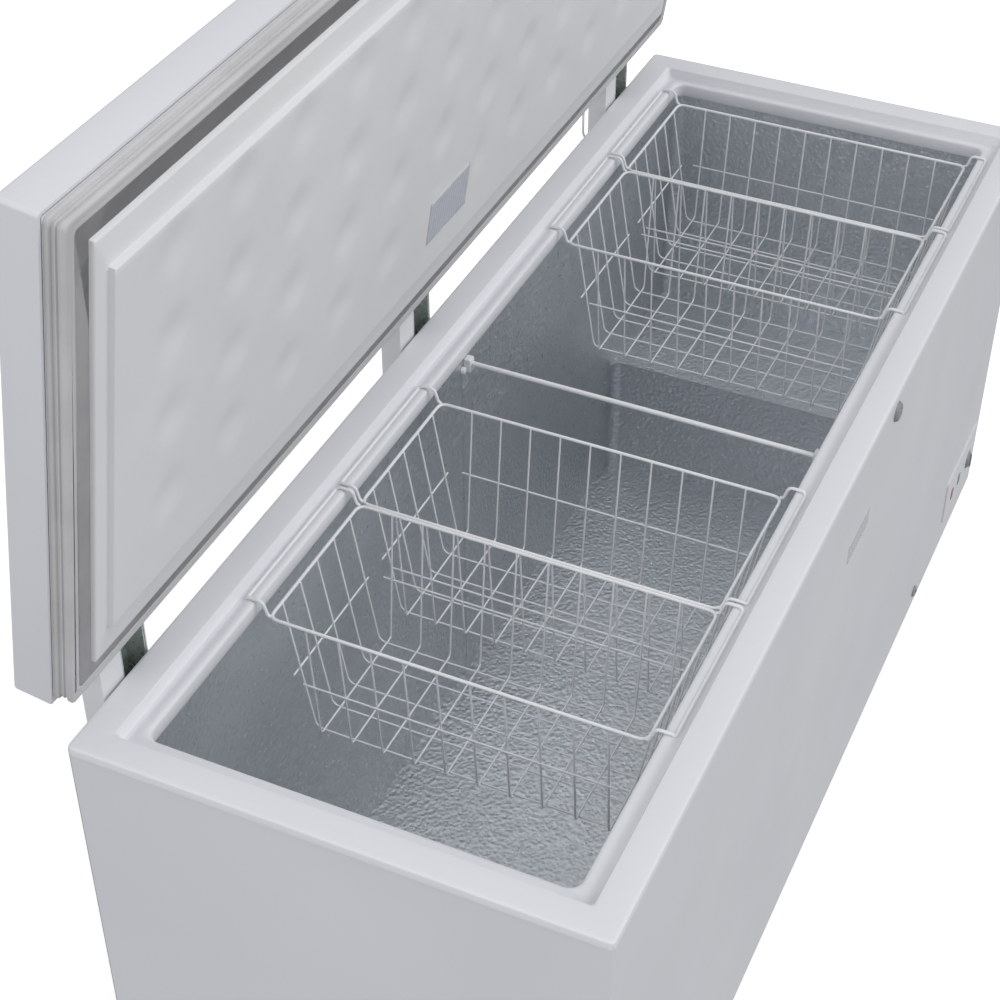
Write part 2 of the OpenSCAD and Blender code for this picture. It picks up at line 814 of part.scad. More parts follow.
module lid_liner() {
    color("whitesmoke") lid_pose() difference() {
        union() {
            lid_band(5, ledge_in + lid_skin, 5, lid_z, lid_z + lid_skin);
            lid_band(ledge_in, ledge_in + lid_skin, 5, lid_z - ledge_drop, lid_z + lid_skin);
            translate([0, lid_mid_y, 0]) {
                band(lid_half_x - ledge_in, lid_half_y - ledge_in, 5,
                    lid_half_x - plateau_in_x - lid_skin, lid_half_y - plateau_in_y - lid_skin,
                    5, lid_z - ledge_drop, lid_z - ledge_drop + lid_skin);
                band(lid_half_x - plateau_in_x, lid_half_y - plateau_in_y, 5,
                    lid_half_x - plateau_in_x - lid_skin, lid_half_y - plateau_in_y - lid_skin,
                    5, lid_z - plateau_drop, lid_z - ledge_drop + lid_skin);
                slab(lid_half_x - plateau_in_x, lid_half_y - plateau_in_y, 5,
                    lid_z - plateau_drop, lid_z - plateau_drop + lid_skin);
            }
        }
        block(lamp_x - lamp_half_x, lamp_x + lamp_half_x, lamp_mid - lamp_half_y,
            lamp_mid + lamp_half_y, lid_z - plateau_drop - 1, lid_z - plateau_drop + 3);
    }
}

module lid_gasket() {
    color("lightgray") lid_pose() union() {
        lid_band(6, 25, 8, lid_z - 7, lid_z);
        lid_band(11, 20, 8, lid_z - gasket_height + 6, lid_z - 6);
        lid_band(8, 25, 8, lid_z - gasket_height, lid_z - gasket_height + 8);
    }
}

module lid_handle() {
    color("gainsboro") lid_pose() difference() {
        union() {
            for (s = [-1, 1])
                block(s * 86 - 10, s * 86 + 10, lid_front - 24, lid_front, lid_z + 10,
                    lid_z + 34);
            block(-96, 96, lid_front - 34, lid_front - 22, lid_z + 6, lid_z + 38);
        }
        for (s = [-1, 1]) {
            rod_y(s * 86, lid_front - 40, lid_front - 6, lid_z + 22, 5);
            rod_y(s * 86, lid_front - 7, lid_front + 1, lid_z + 22, 2.2);
        }
    }
}

module lock_keeper() {
    color("silver") lid_pose() difference() {
        union() {
            block(lock_offset - 16, lock_offset + 16, lid_front - 2.5, lid_front,
                lid_z - 30, lid_z + 30);
            block(lock_offset - 16, lock_offset + 16, lid_front - 2.5, lid_front + 2,
                lid_z - 2, lid_z);
        }
        block(lock_offset - 9, lock_offset + 9, lid_front - 4, lid_front + 1,
            lid_z - 24, lid_z - 14);
    }
}

module lamp_base() {
    color("white") lid_pose() difference() {
        block(lamp_x - lamp_half_x - 2, lamp_x + lamp_half_x + 2, lamp_mid - lamp_half_y - 2,
            lamp_mid + lamp_half_y + 2, lid_z - plateau_drop + lid_skin, lid_z - 16);
        block(lamp_x - lamp_half_x, lamp_x + lamp_half_x, lamp_mid - lamp_half_y,
            lamp_mid + lamp_half_y, lid_z - plateau_drop, lid_z - 18);
    }
}

module lamp_lens() {
    color("azure") lid_pose() difference() {
        block(lamp_x - lamp_half_x, lamp_x + lamp_half_x, lamp_mid - lamp_half_y,
            lamp_mid + lamp_half_y, lid_z - plateau_drop - 2.5, lid_z - plateau_drop + 6);
        block(lamp_x - lamp_half_x + 2, lamp_x + lamp_half_x - 2, lamp_mid - lamp_half_y + 2,
            lamp_mid + lamp_half_y - 2, lid_z - plateau_drop - 0.5, lid_z - plateau_drop + 7);
    }
}

module hinge_leaves() {
    color("silver") lid_pose() every_hinge() difference() {
        union() {
            block(-22, 22, lid_back, lid_back + leaf_sheet, lid_z + 3, lid_z + 49);
            for (s = [-1, 1]) translate([s * (cheek_x + 1) - 1, 0, 0]) {
                rod_x(0, 2, pin_y, pin_z, 6.3);
                translate([0, pin_y, pin_z]) rotate([90, 0, 90]) linear_extrude(2)
                    polygon([[0, 6.3], [-20, 6.5], [-25, 20], [-leaf_gap + 1, 20],
                        [-leaf_gap + 1, -8], [0, -6.3]]);
            }
        }
        rod_x(-hinge_width, hinge_width, pin_y, pin_z, pin_radius + run_gap);
        lid_shanks_here();
    }
}

// Screw holes of one hinge leaf.
module lid_shanks_here() {
    for (s = [-1, 1], rise = [22, 41])
        rod_y(s * 10, lid_back - 1, lid_back + leaf_sheet + 1, lid_z + rise, 2);
}

module lid_screws() {
    color("gainsboro") lid_pose() {
        lid_shanks();
        every_hinge() for (s = [-1, 1], rise = [22, 41])
            rod_y(s * 10, lid_back + leaf_sheet, lid_back + leaf_sheet + 2.4, lid_z + rise, 4);
        for (s = [-1, 1])
            rod_y(s * 86, lid_front - 9, lid_front - 6, lid_z + 22, 4.5);
    }
}

module lamp_lead_upper() {
    color("white") lid_pose()
        rod_y(lead_x, lid_back - 14, pin_y - 2.6, pin_z, lead_radius);
}

// End of a hanger: out of the groove, over the lip and down to the basket rim.
module hanger_end(x) {
    r = rim_wire / 2;
    rim_r = r - 0.1;
    translate([x - r, 0, 0]) rotate([90, 0, 90]) linear_extrude(rim_wire) polygon([
        [hanger_y + r, hanger_z - r], [hanger_y + r, over_z + r], [drop_y - r, over_z + r],
        [rim_y - rim_r, rim_z - rim_r], [rim_y + rim_r, rim_z - rim_r],
        [drop_y + r, over_z - r], [hanger_y - r, over_z - r], [hanger_y - r, hanger_z - r]]);
}

// One hanging wire basket: rim, two hangers, and welded thin wires.
module basket(x) {
    r = rim_wire / 2;
    thin = thin_wire;
    low = floor_z + thin / 2;
    high = low + thin - 0.3;
    top_x = rim_x - 2.3;
    top_y = rim_y - 2.3;
    mid_z = rim_z - basket_height * 0.52;
    part = (mid_z - low) / (rim_z - low);
    mid_x = floor_x + (top_x - floor_x) * part - thin / 2 + 0.4;
    mid_y = floor_y + (top_y - floor_y) * part - thin / 2 + 0.4;
    color("white") translate([x, 0, 0]) union() {
        difference() {
            block(-rim_x - r, rim_x + r, -rim_y - r, rim_y + r, rim_z - r, rim_z + r);
            block(-rim_x + r, rim_x - r, -rim_y + r, rim_y - r, rim_z - rim_wire,
                rim_z + rim_wire);
        }
        for (s = [0, 1]) mirror([0, s, 0]) {
            for (e = [-1, 1]) hanger_end(e * (rim_x - 2));
            block(-rim_x, rim_x, hanger_y - r + 0.1, hanger_y + r - 0.1, hanger_z - r + 0.1,
                hanger_z + r - 0.1);
            for (i = [0 : 4]) translate([0, wire_spacing * (i + 0.5), 0])
                strand(floor_x, high, top_x, rim_z, thin);
            block(-rim_x + 16, rim_x - 16, mid_y - thin, mid_y, mid_z - thin / 2,
                mid_z + thin / 2);
        }
        for (s = [0, 1]) mirror([s, 0, 0])
            block(mid_x - thin, mid_x, -rim_y + 30, rim_y - 30, mid_z - thin / 2,
                mid_z + thin / 2);
        for (i = [-2 : 2]) translate([wire_spacing * i, 0, 0]) rotate([0, 0, 90])
            strand(floor_y, low, top_y, rim_z, thin);
    }
}

module basket_1() {
    basket(basket_x[0]);
}

module basket_2() {
    basket(basket_x[1]);
}

module basket_3() {
    basket(basket_x[2]);
}

module basket_4() {
    basket(basket_x[3]);
}

front_panel();
left_side_panel();
right_side_panel();
back_panel();
base_plate();
cabinet_foam();
inner_liner();
top_collar();
evaporator_coil();
condenser_coil();
machine_bay_shell();
compressor();
compressor_tray();
compressor_grommets();
starter_box();
filter_drier();
refrigerant_pipes();
compartment_grille();
control_fascia();
thermostat();
power_light_lens();
alarm_light_lens();
lock_housing();
drain_tube();
badge_plate();
mains_cable_gland();
tie_rod();
tie_rod_clips();
hinge_bracket_left();
hinge_bracket_middle();
hinge_bracket_right();
hinge_pins();
hinge_covers();
hinge_springs();
cabinet_screws();
lamp_lead_lower();
roller_brackets();
roller_axles();
thermostat_knob();
lock_barrel();
drain_cap();
levelling_foot_front();
levelling_foot_rear();
roller_wheel_front();
roller_wheel_rear();
lid_outer_panel();
lid_foam();
lid_liner();
lid_gasket();
lid_handle();
lock_keeper();
lamp_base();
lamp_lens();
hinge_leaves();
lid_screws();
lamp_lead_upper();
basket_1();
basket_2();
basket_3();
basket_4();
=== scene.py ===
import json
import math

import bmesh
import bpy
from mathutils import Matrix, Vector


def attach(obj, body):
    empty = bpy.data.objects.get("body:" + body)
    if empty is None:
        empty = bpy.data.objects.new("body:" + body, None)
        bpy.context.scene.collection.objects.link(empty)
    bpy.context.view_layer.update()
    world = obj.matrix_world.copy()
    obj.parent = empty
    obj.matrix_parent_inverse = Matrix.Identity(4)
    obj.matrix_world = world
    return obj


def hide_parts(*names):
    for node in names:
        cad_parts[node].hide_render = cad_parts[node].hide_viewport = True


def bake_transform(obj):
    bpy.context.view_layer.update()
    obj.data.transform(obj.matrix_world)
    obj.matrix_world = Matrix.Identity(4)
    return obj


# Chest freezer with its lid up. Everything is in metres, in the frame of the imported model.
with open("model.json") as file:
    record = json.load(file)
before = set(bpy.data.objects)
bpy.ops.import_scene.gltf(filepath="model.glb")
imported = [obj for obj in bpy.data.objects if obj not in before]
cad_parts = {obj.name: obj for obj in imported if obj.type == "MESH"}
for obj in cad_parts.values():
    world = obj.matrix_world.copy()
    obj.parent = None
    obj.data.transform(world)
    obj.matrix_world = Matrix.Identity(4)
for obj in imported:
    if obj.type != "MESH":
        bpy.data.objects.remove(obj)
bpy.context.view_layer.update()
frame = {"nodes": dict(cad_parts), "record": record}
nodes = frame["nodes"]
record = frame["record"]
print("stage: frame loaded,", len(nodes), "nodes")


# Camera, set to the view from above the left front corner.
viewpoint = {
    "place": (-2.339953, -0.841818, 2.655862),
    "right": (0.416374, -0.909193, -0.000029),
    "down": (-0.580262, -0.265712, -0.769866),
    "ahead": (0.699949, 0.320570, -0.638206),
    "lens": 74.04,
}


def makeCamera():
    data = bpy.data.cameras.new("mainCamera")
    data.lens = viewpoint["lens"]
    data.sensor_width = 36
    data.clip_end = 60
    camera = bpy.data.objects.new("mainCamera", data)
    bpy.context.scene.collection.objects.link(camera)
    right = Vector(viewpoint["right"])
    up = -Vector(viewpoint["down"])
    back = -Vector(viewpoint["ahead"])
    turn = Matrix((right, up, back)).transposed().to_4x4()
    camera.matrix_world = Matrix.Translation(viewpoint["place"]) @ turn
    bpy.context.scene.camera = camera


makeCamera()


# Finishes. Each one has its own settings: colour pair, mottling, roughness, fine grain and cells.
paint = {
    "whiteSteel": {"colour": (0.75, 0.76, 0.80), "second": (0.72, 0.73, 0.775), "mottle": 2.2,
                   "rough": 0.36, "roughSpread": 0.05, "grain": 420, "grainDepth": 0.00012,
                   "coat": 0.1},
    "collarPlastic": {"colour": (0.81, 0.815, 0.855), "second": (0.785, 0.795, 0.835),
                      "mottle": 3.0, "rough": 0.42, "roughSpread": 0.05, "grain": 900,
                      "grainDepth": 0.00006, "coat": 0.1},
    "lidPlastic": {"colour": (0.82, 0.825, 0.84), "second": (0.79, 0.80, 0.82), "mottle": 3.5,
                   "rough": 0.5, "roughSpread": 0.07, "grain": 700, "grainDepth": 0.00008},
    "gasketRubber": {"colour": (0.62, 0.62, 0.635), "second": (0.55, 0.55, 0.565), "mottle": 9,
                     "rough": 0.6, "roughSpread": 0.06, "grain": 1200, "grainDepth": 0.00006},
    "wireCoat": {"colour": (0.86, 0.87, 0.89), "second": (0.82, 0.83, 0.86), "mottle": 14,
                 "rough": 0.3, "roughSpread": 0.05, "grain": 900, "grainDepth": 0.00008,
                 "coat": 0.3},
    "whitePlastic": {"colour": (0.76, 0.77, 0.79), "second": (0.73, 0.74, 0.765), "mottle": 7,
                     "rough": 0.4, "roughSpread": 0.05, "grain": 900, "grainDepth": 0.00006},
    "greyPlastic": {"colour": (0.30, 0.31, 0.33), "second": (0.26, 0.27, 0.29), "mottle": 18,
                    "rough": 0.48, "roughSpread": 0.06, "grain": 1300, "grainDepth": 0.00006},
    "blackPlastic": {"colour": (0.022, 0.022, 0.024), "second": (0.03, 0.03, 0.032),
                     "mottle": 12, "rough": 0.5, "roughSpread": 0.08, "grain": 1200,
                     "grainDepth": 0.00008},
    "blackPaint": {"colour": (0.018, 0.018, 0.02), "second": (0.028, 0.028, 0.03), "mottle": 9,
                   "rough": 0.3, "roughSpread": 0.06, "grain": 500, "grainDepth": 0.0001,
                   "coat": 0.3},
    "darkRubber": {"colour": (0.03, 0.03, 0.032), "second": (0.045, 0.045, 0.046),
                   "mottle": 20, "rough": 0.75, "roughSpread": 0.08, "grain": 1500,
                   "grainDepth": 0.0001},
    "yellowFoam": {"colour": (0.72, 0.58, 0.30), "second": (0.64, 0.50, 0.24), "mottle": 25,
                   "rough": 0.9, "roughSpread": 0.05, "cells": 420, "cellDepth": 0.0006},
    "copperTube": {"colour": (0.80, 0.42, 0.27), "second": (0.62, 0.30, 0.19), "mottle": 30,
                   "rough": 0.3, "roughSpread": 0.1, "grain": 300, "grainDepth": 0.00008,
                   "metal": 1.0},
    "brightSteel": {"colour": (0.78, 0.79, 0.80), "second": (0.70, 0.71, 0.72), "mottle": 60,
                    "rough": 0.16, "roughSpread": 0.05, "grain": 1500, "grainDepth": 0.00003,
                    "metal": 1.0},
    "badgePlate": {"colour": (0.74, 0.755, 0.79), "second": (0.71, 0.725, 0.765), "mottle": 60,
                   "rough": 0.25, "roughSpread": 0.05, "grain": 1500, "grainDepth": 0.00003,
                   "metal": 0.35},
    "greenLens": {"colour": (0.02, 0.20, 0.20), "second": (0.03, 0.28, 0.26), "mottle": 120,
                  "rough": 0.12, "roughSpread": 0.04, "cells": 700, "cellDepth": 0.0004,
                  "coat": 0.6},
    "redLens": {"colour": (0.32, 0.012, 0.03), "second": (0.42, 0.02, 0.04), "mottle": 120,
                "rough": 0.12, "roughSpread": 0.04, "cells": 700, "cellDepth": 0.0004,
                "coat": 0.6},
}


def link(tree, fromNode, output, toNode, entry):
    tree.links.new(fromNode.outputs[output], toNode.inputs[entry])


def addNode(tree, kind, **values):
    made = tree.nodes.new(kind)
    for key, value in values.items():
        made.inputs[key.replace("_", " ")].default_value = value
    return made


def addNoise(tree, place, scale, detail=3.0):
    noise = addNode(tree, "ShaderNodeTexNoise", Scale=scale, Detail=detail, Roughness=0.55)
    link(tree, place, "Object", noise, "Vector")
    return noise


def addRange(tree, source, output, low, high, fromLow=0.35, fromHigh=0.65):
    made = tree.nodes.new("ShaderNodeMapRange")
    made.inputs["From Min"].default_value = fromLow
    made.inputs["From Max"].default_value = fromHigh
    made.inputs["To Min"].default_value = low
    made.inputs["To Max"].default_value = high
    link(tree, source, output, made, "Value")
    return made


def addMix(tree, factor, output, first, second):
    mixed = tree.nodes.new("ShaderNodeMix")
    mixed.data_type = "RGBA"
    mixed.inputs[6].default_value = (*first, 1)
    mixed.inputs[7].default_value = (*second, 1)
    link(tree, factor, output, mixed, 0)
    return mixed


def addBump(tree, source, output, depth, before=None):
    bump = addNode(tree, "ShaderNodeBump", Strength=1.0, Distance=depth)
    link(tree, source, output, bump, "Height")
    if before is not None:
        link(tree, before, "Normal", bump, "Normal")
    return bump


def startFinish(name):
    finish = bpy.data.materials.new(name)
    finish.use_nodes = True
    tree = finish.node_tree
    shader = tree.nodes["Principled BSDF"]
    place = tree.nodes.new("ShaderNodeTexCoord")
    return finish, tree, shader, place


def plainFinish(name):
    look = paint[name]
    finish, tree, shader, place = startFinish(name)
    mottle = addRange(tree, addNoise(tree, place, look["mottle"]), "Fac", 0, 1)
    tone = addMix(tree, mottle, "Result", look["colour"], look["second"])
    tree.links.new(tone.outputs[2], shader.inputs["Base Color"])
    low = look["rough"] - look["roughSpread"]
    high = look["rough"] + look["roughSpread"]
    haze = addRange(tree, addNoise(tree, place, look["mottle"] * 3), "Fac", low, high)
    link(tree, haze, "Result", shader, "Roughness")
    shader.inputs["Metallic"].default_value = look.get("metal", 0.0)
    shader.inputs["Coat Weight"].default_value = look.get("coat", 0.0)
    shader.inputs["Coat Roughness"].default_value = 0.2
    bump = None
    if "grain" in look:
        bump = addBump(tree, addNoise(tree, place, look["grain"], 2), "Fac", look["grainDepth"])
    if "cells" in look:
        cells = addNode(tree, "ShaderNodeTexVoronoi", Scale=look["cells"])
        link(tree, place, "Object", cells, "Vector")
        bump = addBump(tree, cells, "Distance", look["cellDepth"], bump)
    link(tree, bump, "Normal", shader, "Normal")
    return finish


finishes = {name: plainFinish(name) for name in paint}

# Embossed aluminium sheet of the compartment: raised stucco cells that catch the light one by one.
stucco = {"colour": (0.74, 0.77, 0.80), "second": (0.66, 0.69, 0.72), "cells": 150,
          "fine": 450, "depth": 0.0019, "rough": (0.26, 0.52)}


def stuccoFinish():
    finish, tree, shader, place = startFinish("stuccoAluminium")
    warp = addNoise(tree, place, 60, 2)
    shift = tree.nodes.new("ShaderNodeVectorMath")
    shift.operation = "MULTIPLY_ADD"
    shift.inputs[1].default_value = (0.006, 0.006, 0.006)
    link(tree, warp, "Color", shift, 0)
    link(tree, place, "Object", shift, 2)
    cells = addNode(tree, "ShaderNodeTexVoronoi", Scale=stucco["cells"])
    cells.feature = "SMOOTH_F1"
    tree.links.new(shift.outputs["Vector"], cells.inputs["Vector"])
    shade = tree.nodes.new("ShaderNodeSeparateColor")
    link(tree, cells, "Color", shade, "Color")
    cloud = addRange(tree, addNoise(tree, place, 2.5), "Fac", 0, 1)
    tone = addMix(tree, cloud, "Result", stucco["colour"], stucco["second"])
    tree.links.new(tone.outputs[2], shader.inputs["Base Color"])
    gloss = addRange(tree, shade, "Red", stucco["rough"][0], stucco["rough"][1], 0, 1)
    link(tree, gloss, "Result", shader, "Roughness")
    shader.inputs["Metallic"].default_value = 0.88
    relief = addBump(tree, cells, "Distance", stucco["depth"])
    fine = addBump(tree, addNoise(tree, place, stucco["fine"], 3), "Fac", 0.0003, relief)
    link(tree, fine, "Normal", shader, "Normal")
    return finish


finishes["stuccoAluminium"] = stuccoFinish()

# Zinc: rolled sheet with soft spangle, and the greener passivated kind used on the hinges.
zinc = {
    "zincSheet": {"colour": (0.60, 0.62, 0.64), "second": (0.48, 0.50, 0.52), "cells": 95,
                  "rough": (0.28, 0.46), "metal": 0.95},
    "hingeZinc": {"colour": (0.70, 0.75, 0.72), "second": (0.54, 0.60, 0.57), "cells": 210,
                  "rough": (0.24, 0.42), "metal": 0.6},
}


def zincFinish(name):
    look = zinc[name]
    finish, tree, shader, place = startFinish(name)
    spangle = addNode(tree, "ShaderNodeTexVoronoi", Scale=look["cells"])
    link(tree, place, "Object", spangle, "Vector")
    shade = tree.nodes.new("ShaderNodeSeparateColor")
    link(tree, spangle, "Color", shade, "Color")
    tone = addMix(tree, shade, "Green", look["colour"], look["second"])
    tree.links.new(tone.outputs[2], shader.inputs["Base Color"])
    gloss = addRange(tree, shade, "Blue", look["rough"][0], look["rough"][1], 0, 1)
    link(tree, gloss, "Result", shader, "Roughness")
    shader.inputs["Metallic"].default_value = look["metal"]
    bump = addBump(tree, addNoise(tree, place, 700, 2), "Fac", 0.00006)
    link(tree, bump, "Normal", shader, "Normal")
    return finish


for zincName in zinc:
    finishes[zincName] = zincFinish(zincName)


def clearFinish():
    finish, tree, shader, place = startFinish("clearLens")
    wave = addNoise(tree, place, 40, 2)
    tone = addMix(tree, addRange(tree, wave, "Fac", 0, 1), "Result",
                  (0.86, 0.88, 0.95), (0.82, 0.85, 0.93))
    tree.links.new(tone.outputs[2], shader.inputs["Base Color"])
    haze = addRange(tree, wave, "Fac", 0.08, 0.2)
    link(tree, haze, "Result", shader, "Roughness")
    shader.inputs["IOR"].default_value = 1.49
    shader.inputs["Transmission Weight"].default_value = 0.4
    bump = addBump(tree, addNoise(tree, place, 260, 2), "Fac", 0.0002)
    link(tree, bump, "Normal", shader, "Normal")
    return finish


finishes["clearLens"] = clearFinish()
print("stage: finishes made,", len(finishes))

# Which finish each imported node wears, by its material slot in the record.
slotFinish = {
    "white_steel": "whiteSteel", "zinc_steel": "zincSheet", "foam": "yellowFoam",
    "liner": "stuccoAluminium", "collar": "collarPlastic", "lid_liner": "lidPlastic",
    "copper": "copperTube", "black_steel": "blackPaint", "black_plastic": "blackPlastic",
    "rubber": "darkRubber", "gasket": "gasketRubber", "white_plastic": "whitePlastic",
    "grey_plastic": "greyPlastic", "green_lens": "greenLens", "red_lens": "redLens",
    "clear_lens": "clearLens", "badge": "badgePlate", "white_wire": "wireCoat",
    "hinge_zinc": "hingeZinc", "bright_steel": "brightSteel",
}


def dressNodes():
    for part in record["subparts"]:
        finish = finishes[slotFinish[part["material_slot"]]]
        mesh = nodes[part["node"]].data
        if len(mesh.materials) == 0:
            mesh.materials.append(finish)
        for index in range(len(mesh.materials)):
            mesh.materials[index] = finish


dressNodes()
print("stage: nodes dressed")


def finishPiece(name, bm, body, finish, stands=(), sharp=38, recalc=True):
    bmesh.ops.remove_doubles(bm, verts=bm.verts[:], dist=0.000001)
    if recalc:
        bmesh.ops.recalc_face_normals(bm, faces=bm.faces[:])
    mesh = bpy.data.meshes.new(name)
    bm.to_mesh(mesh)
    bm.free()
    mesh.shade_smooth()
    mesh.set_sharp_from_angle(angle=math.radians(sharp))
    piece = bpy.data.objects.new(name, mesh)
    bpy.context.scene.collection.objects.link(piece)
    mesh.materials.append(finishes[finish])
    if body:
        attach(piece, body)
    if stands:
        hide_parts(*stands)
    return piece


# One rounded rectangle of edges, from a single grid face with its corners rounded.
def roundedLoop(bm, halfX, halfY, radius, height, centreY=0.0, steps=5):
    before = set(bm.faces)
    corners = bmesh.ops.create_grid(bm, x_segments=1, y_segments=1, size=1.0)["verts"]
    bmesh.ops.scale(bm, vec=(halfX, halfY, 1), verts=corners)
    bmesh.ops.translate(bm, vec=(0, centreY, height), verts=corners)
    bmesh.ops.bevel(bm, geom=corners, offset=radius, segments=steps, profile=0.5,
                    affect="VERTICES", material=-1)
    face = next(f for f in bm.faces if f not in before)
    edges = list(face.edges)
    bmesh.ops.delete(bm, geom=[face], context="FACES_ONLY")
    return edges


# Rings bridged one to the next. Each ring is (half length, half depth, corner radius, height).
def ringStack(bm, rings, centreY=0.0, closed=True, steps=5):
    loops = [roundedLoop(bm, x, y, r, z, centreY, steps) for x, y, r, z in rings]
    for first, second in zip(loops, loops[1:]):
        bmesh.ops.bridge_loops(bm, edges=first + second)
    if closed:
        bmesh.ops.bridge_loops(bm, edges=loops[-1] + loops[0])
    return loops


def addBlock(bm, low, high, edgeRadius=0.0, segments=3):
    made = bmesh.ops.create_cube(bm, size=1.0)["verts"]
    size = Vector(high) - Vector(low)
    bmesh.ops.scale(bm, vec=size, verts=made)
    bmesh.ops.translate(bm, vec=(Vector(low) + Vector(high)) / 2, verts=made)
    if edgeRadius > 0:
        edges = list({e for v in made for e in v.link_edges})
        bmesh.ops.bevel(bm, geom=edges, offset=edgeRadius, segments=segments, profile=0.5,
                        affect="EDGES", material=-1)


# A turned part: (radius, distance along Y) points spun about the Y axis through a centre.
def turned(bm, outline, centre, steps):
    along = Vector((0, 1, 0))
    out = Vector((1, 0, 0))
    points = [bm.verts.new(Vector(centre) + out * r + along * h) for r, h in outline]
    edges = [bm.edges.new(pair) for pair in zip(points, points[1:])]
    bmesh.ops.spin(bm, geom=points + edges, cent=centre, axis=along, angle=math.tau,
                   steps=steps, use_merge=True)


# Wires: straight runs with rounded corners, as curves given a round section.
def wirePoints(points, bend, closed=False, arcSteps=5):
    route = [Vector(p) for p in points]
    count = len(route)
    made = []
    for i, corner in enumerate(route):
        if not closed and i in (0, count - 1):
            made.append(corner)
            continue
        before = route[i - 1] - corner
        after = route[(i + 1) % count] - corner
        reach = min(bend, before.length * 0.49, after.length * 0.49)
        start = corner + before.normalized() * reach
        end = corner + after.normalized() * reach
        for step in range(arcSteps + 1):
            t = step / arcSteps
            made.append(start.lerp(corner, t).lerp(corner.lerp(end, t), t))
    return made


def addWire(curve, points, closed=False):
    spline = curve.splines.new("POLY")
    spline.points.add(len(points) - 1)
    for spot, point in zip(spline.points, points):
        spot.co = (*point, 1)
    spline.use_cyclic_u = closed


def newCurve(name, thickness, sides):
    curve = bpy.data.curves.new(name, "CURVE")
    curve.dimensions = "3D"
    curve.bevel_depth = thickness / 2
    curve.bevel_resolution = sides
    curve.use_fill_caps = True
    return curve


def curveIntoMesh(bm, curve):
    holder = bpy.data.objects.new("holder", curve)
    bpy.context.scene.collection.objects.link(holder)
    bpy.context.view_layer.update()
    ready = holder.evaluated_get(bpy.context.evaluated_depsgraph_get())
    mesh = bpy.data.meshes.new_from_object(ready)
    bm.from_mesh(mesh)
    bpy.data.meshes.remove(mesh)
    bpy.data.objects.remove(holder)
    bpy.data.curves.remove(curve)


# Moulded collar round the top: flat outer band, a step down to the groove, and a rounded lip.
collar = {
    "half": (0.985, 0.360), "top": 0.830, "skirt": 0.818, "band": 0.044, "groove": 0.812,
    "lip": 0.816, "opening": (0.919, 0.288), "lipDrop": 0.038, "under": 0.8094,
    "wallIn": 0.0412, "skirtIn": 0.0021, "thick": 0.0041,
}


def makeCollar():
    bm = bmesh.new()
    x, y = collar["half"]
    ox, oy = collar["opening"]
    top = collar["top"]
    groove = collar["groove"]
    lip = collar["lip"]
    b = collar["band"]
    wallIn = collar["wallIn"]
    skirtIn = collar["skirtIn"]
    rings = [
        (x, y, 0.008, collar["skirt"]),
        (x, y, 0.008, top - 0.0030),
        (x - 0.0007, y - 0.0007, 0.0075, top - 0.0011),
        (x - 0.0026, y - 0.0026, 0.007, top - 0.0001),
        (x - 0.006, y - 0.006, 0.007, top),
        (x - b + 0.006, y - b + 0.006, 0.007, top - 0.0002),
        (x - b + 0.0022, y - b + 0.0022, 0.007, top - 0.0011),
        (x - b + 0.0004, y - b + 0.0004, 0.007, top - 0.0036),
        (x - b - 0.0016, y - b - 0.0016, 0.008, groove + 0.0040),
        (x - b - 0.0030, y - b - 0.0030, 0.008, groove + 0.0012),
        (x - b - 0.0062, y - b - 0.0062, 0.009, groove + 0.0002),
        (x - b - 0.0105, y - b - 0.0105, 0.010, groove + 0.0006),
        (x - b - 0.0145, y - b - 0.0145, 0.012, groove + 0.0026),
        (x - b - 0.0175, y - b - 0.0175, 0.013, lip - 0.0004),
        (ox + 0.0045, oy + 0.0065, 0.017, lip),
        (ox + 0.0020, oy + 0.0024, 0.018, lip - 0.0008),
        (ox + 0.0005, oy + 0.0006, 0.018, lip - 0.0026),
        (ox, oy, 0.018, lip - 0.0050),
        (ox, oy, 0.018, top - collar["lipDrop"] + 0.001),
        (ox + 0.0006, oy + 0.0006, 0.018, top - collar["lipDrop"]),
        (ox + 0.0019, oy + 0.0019, 0.018, top - collar["lipDrop"] + 0.001),
        (ox + 0.0019, oy + 0.0019, 0.018, collar["under"]),
        (x - wallIn, y - wallIn, 0.008, collar["under"]),
        (x - wallIn, y - wallIn, 0.008, top - collar["thick"]),
        (x - skirtIn, y - skirtIn, 0.006, top - collar["thick"]),
        (x - skirtIn, y - skirtIn, 0.006, collar["skirt"]),
    ]
    ringStack(bm, rings, steps=6)
    finishPiece("collarRim", bm, "cabinet", "collarPlastic", ["top_collar"])


makeCollar()

# The compartment's folded wall seams, front and back.
seam = {"x": 0.0, "halfWidth": 0.009, "wall": 0.290, "thick": 0.0007, "low": 0.1185,
        "high": 0.7915}


def makeSeams():
    bm = bmesh.new()
    wall = seam["wall"]
    for side in (-1, 1):
        inner = side * (wall - seam["thick"])
        low = (seam["x"] - seam["halfWidth"], min(inner, side * wall), seam["low"])
        high = (seam["x"] + seam["halfWidth"], max(inner, side * wall), seam["high"])
        addBlock(bm, low, high, 0.0003, 2)
    finishPiece("linerSeams", bm, "cabinet", "stuccoAluminium")


makeSeams()

# Rod across the middle of the compartment, with a bent end and a round screw on each clip.
tieRod = {"z": 0.782, "half": 0.2868, "thick": 0.0076, "clipHalf": 0.008,
          "clipY": (0.2765, 0.2896), "clipZ": (0.7665, 0.7915), "screw": 0.0062,
          "screwSpot": (-0.0115, 0.2855, 0.7725)}


